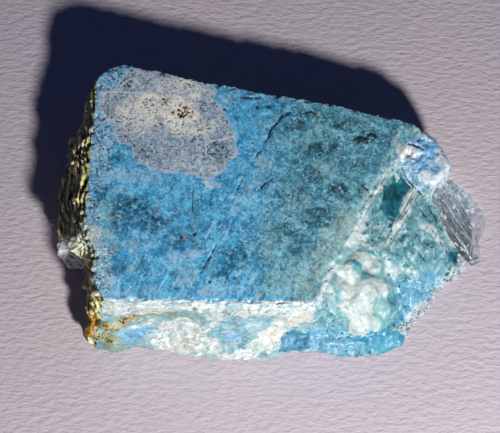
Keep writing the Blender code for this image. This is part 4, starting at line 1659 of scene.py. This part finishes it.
CLEAR_CALCITE = clear_calcite_material()
FROSTED_CALCITE = frosted_calcite_material()
MILKY_CALCITE = milky_calcite_material()
print("calcites:", CLEAR_CALCITE.name, FROSTED_CALCITE.name, MILKY_CALCITE.name)

# %% [markdown]
# ## Which finish each face has
#
# Every face gets the material of its own kind of surface. At the borders of the crust, the knobs
# and the boss a little noise shifts the change, so that it runs ragged from grain to grain as on
# a real break. Mixing all six in one material would be smoother, but far slower to render.

# %% Sorting the stone's faces by finish
FINISHES = [
    sawn_material(),
    splintery_material(),
    crust_material(),
    slope_material(),
    knobs_material(),
    boss_material(),
]
SAWN, SPLINTERY, CRUST, SLOPE, KNOB, BOSS = range(len(FINISHES))
BORDER_RAGGEDNESS = 0.5
SPOT_RAGGEDNESS = 0.4
BOSS_BORDER = 0.3
LEFT_ONLY = np.array((1.0, 0.0, 0.0, 0.0))
FINISH_OF_SIDES = np.array((CRUST, SLOPE, SPLINTERY, SPLINTERY))


def finish_of_faces(centres):
    """The number of the finish that each face has, from where its centre lies."""
    finish = np.full(len(centres), SAWN, dtype=np.int32)
    reach = reaches(centres)
    upper = (face_height(centres[:, 0]) - centres[:, 2] < CHIP_DEPTH) & (reach.max(axis=1) < 0)
    rough = np.flatnonzero(~(upper | (centres[:, 2] < FLAT)))
    jitter = BORDER_RAGGEDNESS * noise_at(centres[rough], 0.5, octaves=2)
    first = reach[rough] + jitter[:, None] * LEFT_ONLY
    finish[rough] = FINISH_OF_SIDES[np.argmax(first, axis=1)]
    on_slope = rough[finish[rough] == SLOPE]
    edge = SPOT_RAGGEDNESS * jitter[finish[rough] == SLOPE]
    finish[on_slope[knob_share(centres[on_slope]) + edge > 0.5]] = KNOB
    in_boss = in_disc(centres[on_slope], BOSS_CENTRE, BOSS_RADIUS, BOSS_BORDER) + edge > 0.5
    finish[on_slope[in_boss]] = BOSS
    return finish


stone.data.materials.clear()
for made in FINISHES:
    stone.data.materials.append(made)
finish = finish_of_faces(face_centres(stone))
stone.data.polygons.foreach_set("material_index", finish)
for number, made in enumerate(FINISHES):
    nodes = len(made.node_tree.nodes)
    print(made.name, "with", nodes, "nodes on", int((finish == number).sum()), "faces")

# %% [markdown]
# ## Clear calcite and its cover
#
# The plate and the bud have two finishes each. On the plate the crests of the cleavage steps and
# a few crumbled spots are frosted, and most of the bud is milky, with small clear gaps. The
# covered faces are picked by noise at their centres, which needs no further nodes.

# %% Covering part of the plate and the bud
CREST = 0.88
CREST_FROST = -0.1
PLATE_FROST = 0.45
BUD_MILK = -0.45


def cover(piece, covering, covered):
    """Gives the piece clear calcite, and a covering of another calcite on these faces."""
    piece.data.materials.clear()
    piece.data.materials.append(CLEAR_CALCITE)
    piece.data.materials.append(covering)
    piece.data.polygons.foreach_set("material_index", covered.astype(np.int32))
    print(piece.name, "has", covering.name, "on", int(covered.sum()), "faces of", len(covered))


centres = face_centres(plate)
crumbled = noise_at(centres, 0.9)
on_crest = (step_ridges(centres) > CREST) & (crumbled > CREST_FROST)
cover(plate, FROSTED_CALCITE, on_crest | (crumbled > PLATE_FROST))
cover(bud, MILKY_CALCITE, noise_at(face_centres(bud), 0.5) > BUD_MILK)

# %% [markdown]
# ## Sugar grains of calcite
#
# Along the foot of the sloping end sit hundreds of tiny calcite crystals, like spilt sugar. One
# crystal is modelled as a small slanted block with its edges taken off, and copied: each copy has
# its own mesh, size and turn, and the copies are joined into one piece. The places are ovals as
# in the lists above, and the crystals' seats are drawn by lot, the same on every run.

# %% One grain, copied onto the stone
GRAIN_PLACES = [
    (15.9, -9.4, 0.45, 3.2, -52, 0.6),
    (14.1, -12.2, 0.4, 1.2, -20, 0.7),
    (18.3, -6.4, 0.4, 2.0, -50, 0.9),
    (20.0, -4.3, 0.8, 0.6, -40, 1.0),
]
GRAIN_COUNT = 420
GRAIN_SIZES = (0.06, 0.13)
GRAIN_FLATNESS = 0.8
GRAIN_SLANT = (0.35, 0.2)
GRAIN_BEVEL = 0.35
GRAIN_SINK = 0.6
GRAIN_LIFT = 1.2
GRAIN_LOTS = 11


def one_grain():
    """A slanted block with its edges taken off, two millimetres across, to be scaled down."""
    bpy.ops.object.select_all(action="DESELECT")
    bpy.ops.mesh.primitive_cube_add(size=2.0)
    made = bpy.context.object
    lean, skew = GRAIN_SLANT
    for point in made.data.vertices:
        point.co += Vector((lean * point.co.z, skew * point.co.x, 0.0))
    bpy.ops.object.mode_set(mode="EDIT")
    bpy.ops.mesh.select_all(action="SELECT")
    bpy.ops.mesh.bevel(offset=GRAIN_BEVEL, segments=1)
    bpy.ops.object.mode_set(mode="OBJECT")
    return made


def grain_seats(count):
    """Points of the stone in the sugary places with their normals, and sizes and turns."""
    places = points_of(stone)
    share = from_ovals(warped(places, 0.8, 0.3)[:, :2], GRAIN_PLACES)
    share[face_height(places[:, 0]) - places[:, 2] < CHIP_DEPTH] = 0.0
    lots = np.random.default_rng(GRAIN_LOTS)
    chosen = lots.choice(len(places), size=count, replace=False, p=share / share.sum())
    sizes = lots.uniform(*GRAIN_SIZES, size=count)
    turns = lots.uniform(0.0, math.tau, size=(count, 3))
    return places[chosen], normals_of(stone)[chosen], sizes, turns


model = one_grain()
copies = []
for place, normal, size, turn in zip(*grain_seats(GRAIN_COUNT)):
    made = copy_of(model, "grain")
    made.location = (place + normal * size * (1.0 - GRAIN_SINK)) * MM
    made.location.z = max(made.location.z, GRAIN_LIFT * size * MM)
    made.rotation_euler = turn
    made.scale = (size * MM, size * MM, GRAIN_FLATNESS * size * MM)
    copies.append(made)
remove(model)
bpy.ops.object.select_all(action="DESELECT")
for made in copies:
    made.select_set(True)
grains = copies[0]
bpy.context.view_layer.objects.active = grains
bpy.ops.object.join()
bpy.ops.object.transform_apply(location=True, rotation=True, scale=True)
move_points(grains, points_of(grains))
grains.name = "calcite_grains"
grains.data.materials.clear()
grains.data.materials.append(FROSTED_CALCITE)
print("grains:", GRAIN_COUNT, "crystals,", triangle_count(grains), "triangles")

# %% [markdown]
# ## Floor and light
#
# The stone lies on a plain pale floor of matt paper, whose tooth repeats every half millimetre. A
# small round lamp stands in front and to the right, a little under half way up, which throws a
# shadow to the back left and brings out the relief. A weak, cool sky fills the shadow. The
# Standard view keeps colours as they are.

# %% A pale floor, one soft lamp and a weak sky
FLOOR_SIZE = 1500.0 * MM
PAPER_TOOTH = 0.16
LAMP_PLACE = Vector((52.0, -136.0, 106.0)) * MM
LAMP_SIZE = 16.0 * MM
LAMP_POWER = 0.43
SKY_STRENGTH = 0.07

bpy.ops.object.select_all(action="DESELECT")
bpy.ops.mesh.primitive_plane_add(size=FLOOR_SIZE)
floor = bpy.context.object
floor.name = "floor"
paper, tree, shader, place = new_material("pale_paper", 1.45)
tooth = grain(tree, place, 0.5, stretch=(2.0, 1.0, 1.0))
colour = paint(tree, "C6B9BD", (clouds(tree, place, 30.0, 0.4, 0.6), "C2B7BE"))
finish_with(tree, shader, colour, (0.85, 1.0, tooth), [(PAPER_TOOTH, tooth)])
floor.data.materials.append(paper)
floor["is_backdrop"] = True

lamp_turn = LAMP_PLACE.to_track_quat("Z", "Y").to_euler()
bpy.ops.object.light_add(type="AREA", location=LAMP_PLACE, rotation=lamp_turn)
lamp = bpy.context.object
lamp.data.shape = "DISK"
lamp.data.size = LAMP_SIZE
lamp.data.energy = LAMP_POWER

sky = bpy.data.worlds.new("sky")
sky.use_nodes = True
background = sky.node_tree.nodes["Background"]
background.inputs["Color"].default_value = linear("7C98F0")
background.inputs["Strength"].default_value = SKY_STRENGTH
bpy.context.scene.world = sky
bpy.context.scene.view_settings.view_transform = "Standard"
print("lamp at", [round(c / MM) for c in LAMP_PLACE], "mm")

# %% [markdown]
# ## The pieces on one body
#
# Every piece rides on the one body, and all of them together stand for the CAD solid. The plate
# and the bud throw no shadow: a path tracer finds hardly any light behind clear crystal, which
# makes it far blacker than it is. The box of what is seen is kept beside the CAD box, and printed.

# %% Riding, shadows, sizes and the end
for piece in (stone, plate, bud, grains):
    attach(piece, "root")
    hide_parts("larimar")
for piece in (plate, bud):
    piece.visible_shadow = False

sizes = {"cad": CAD_BOX, "visual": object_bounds()}
sizes = {name: [list(corner) for corner in box] for name, box in sizes.items()}
print("visual box in mm:", [[round(c / MM, 2) for c in corner] for corner in sizes["visual"]])
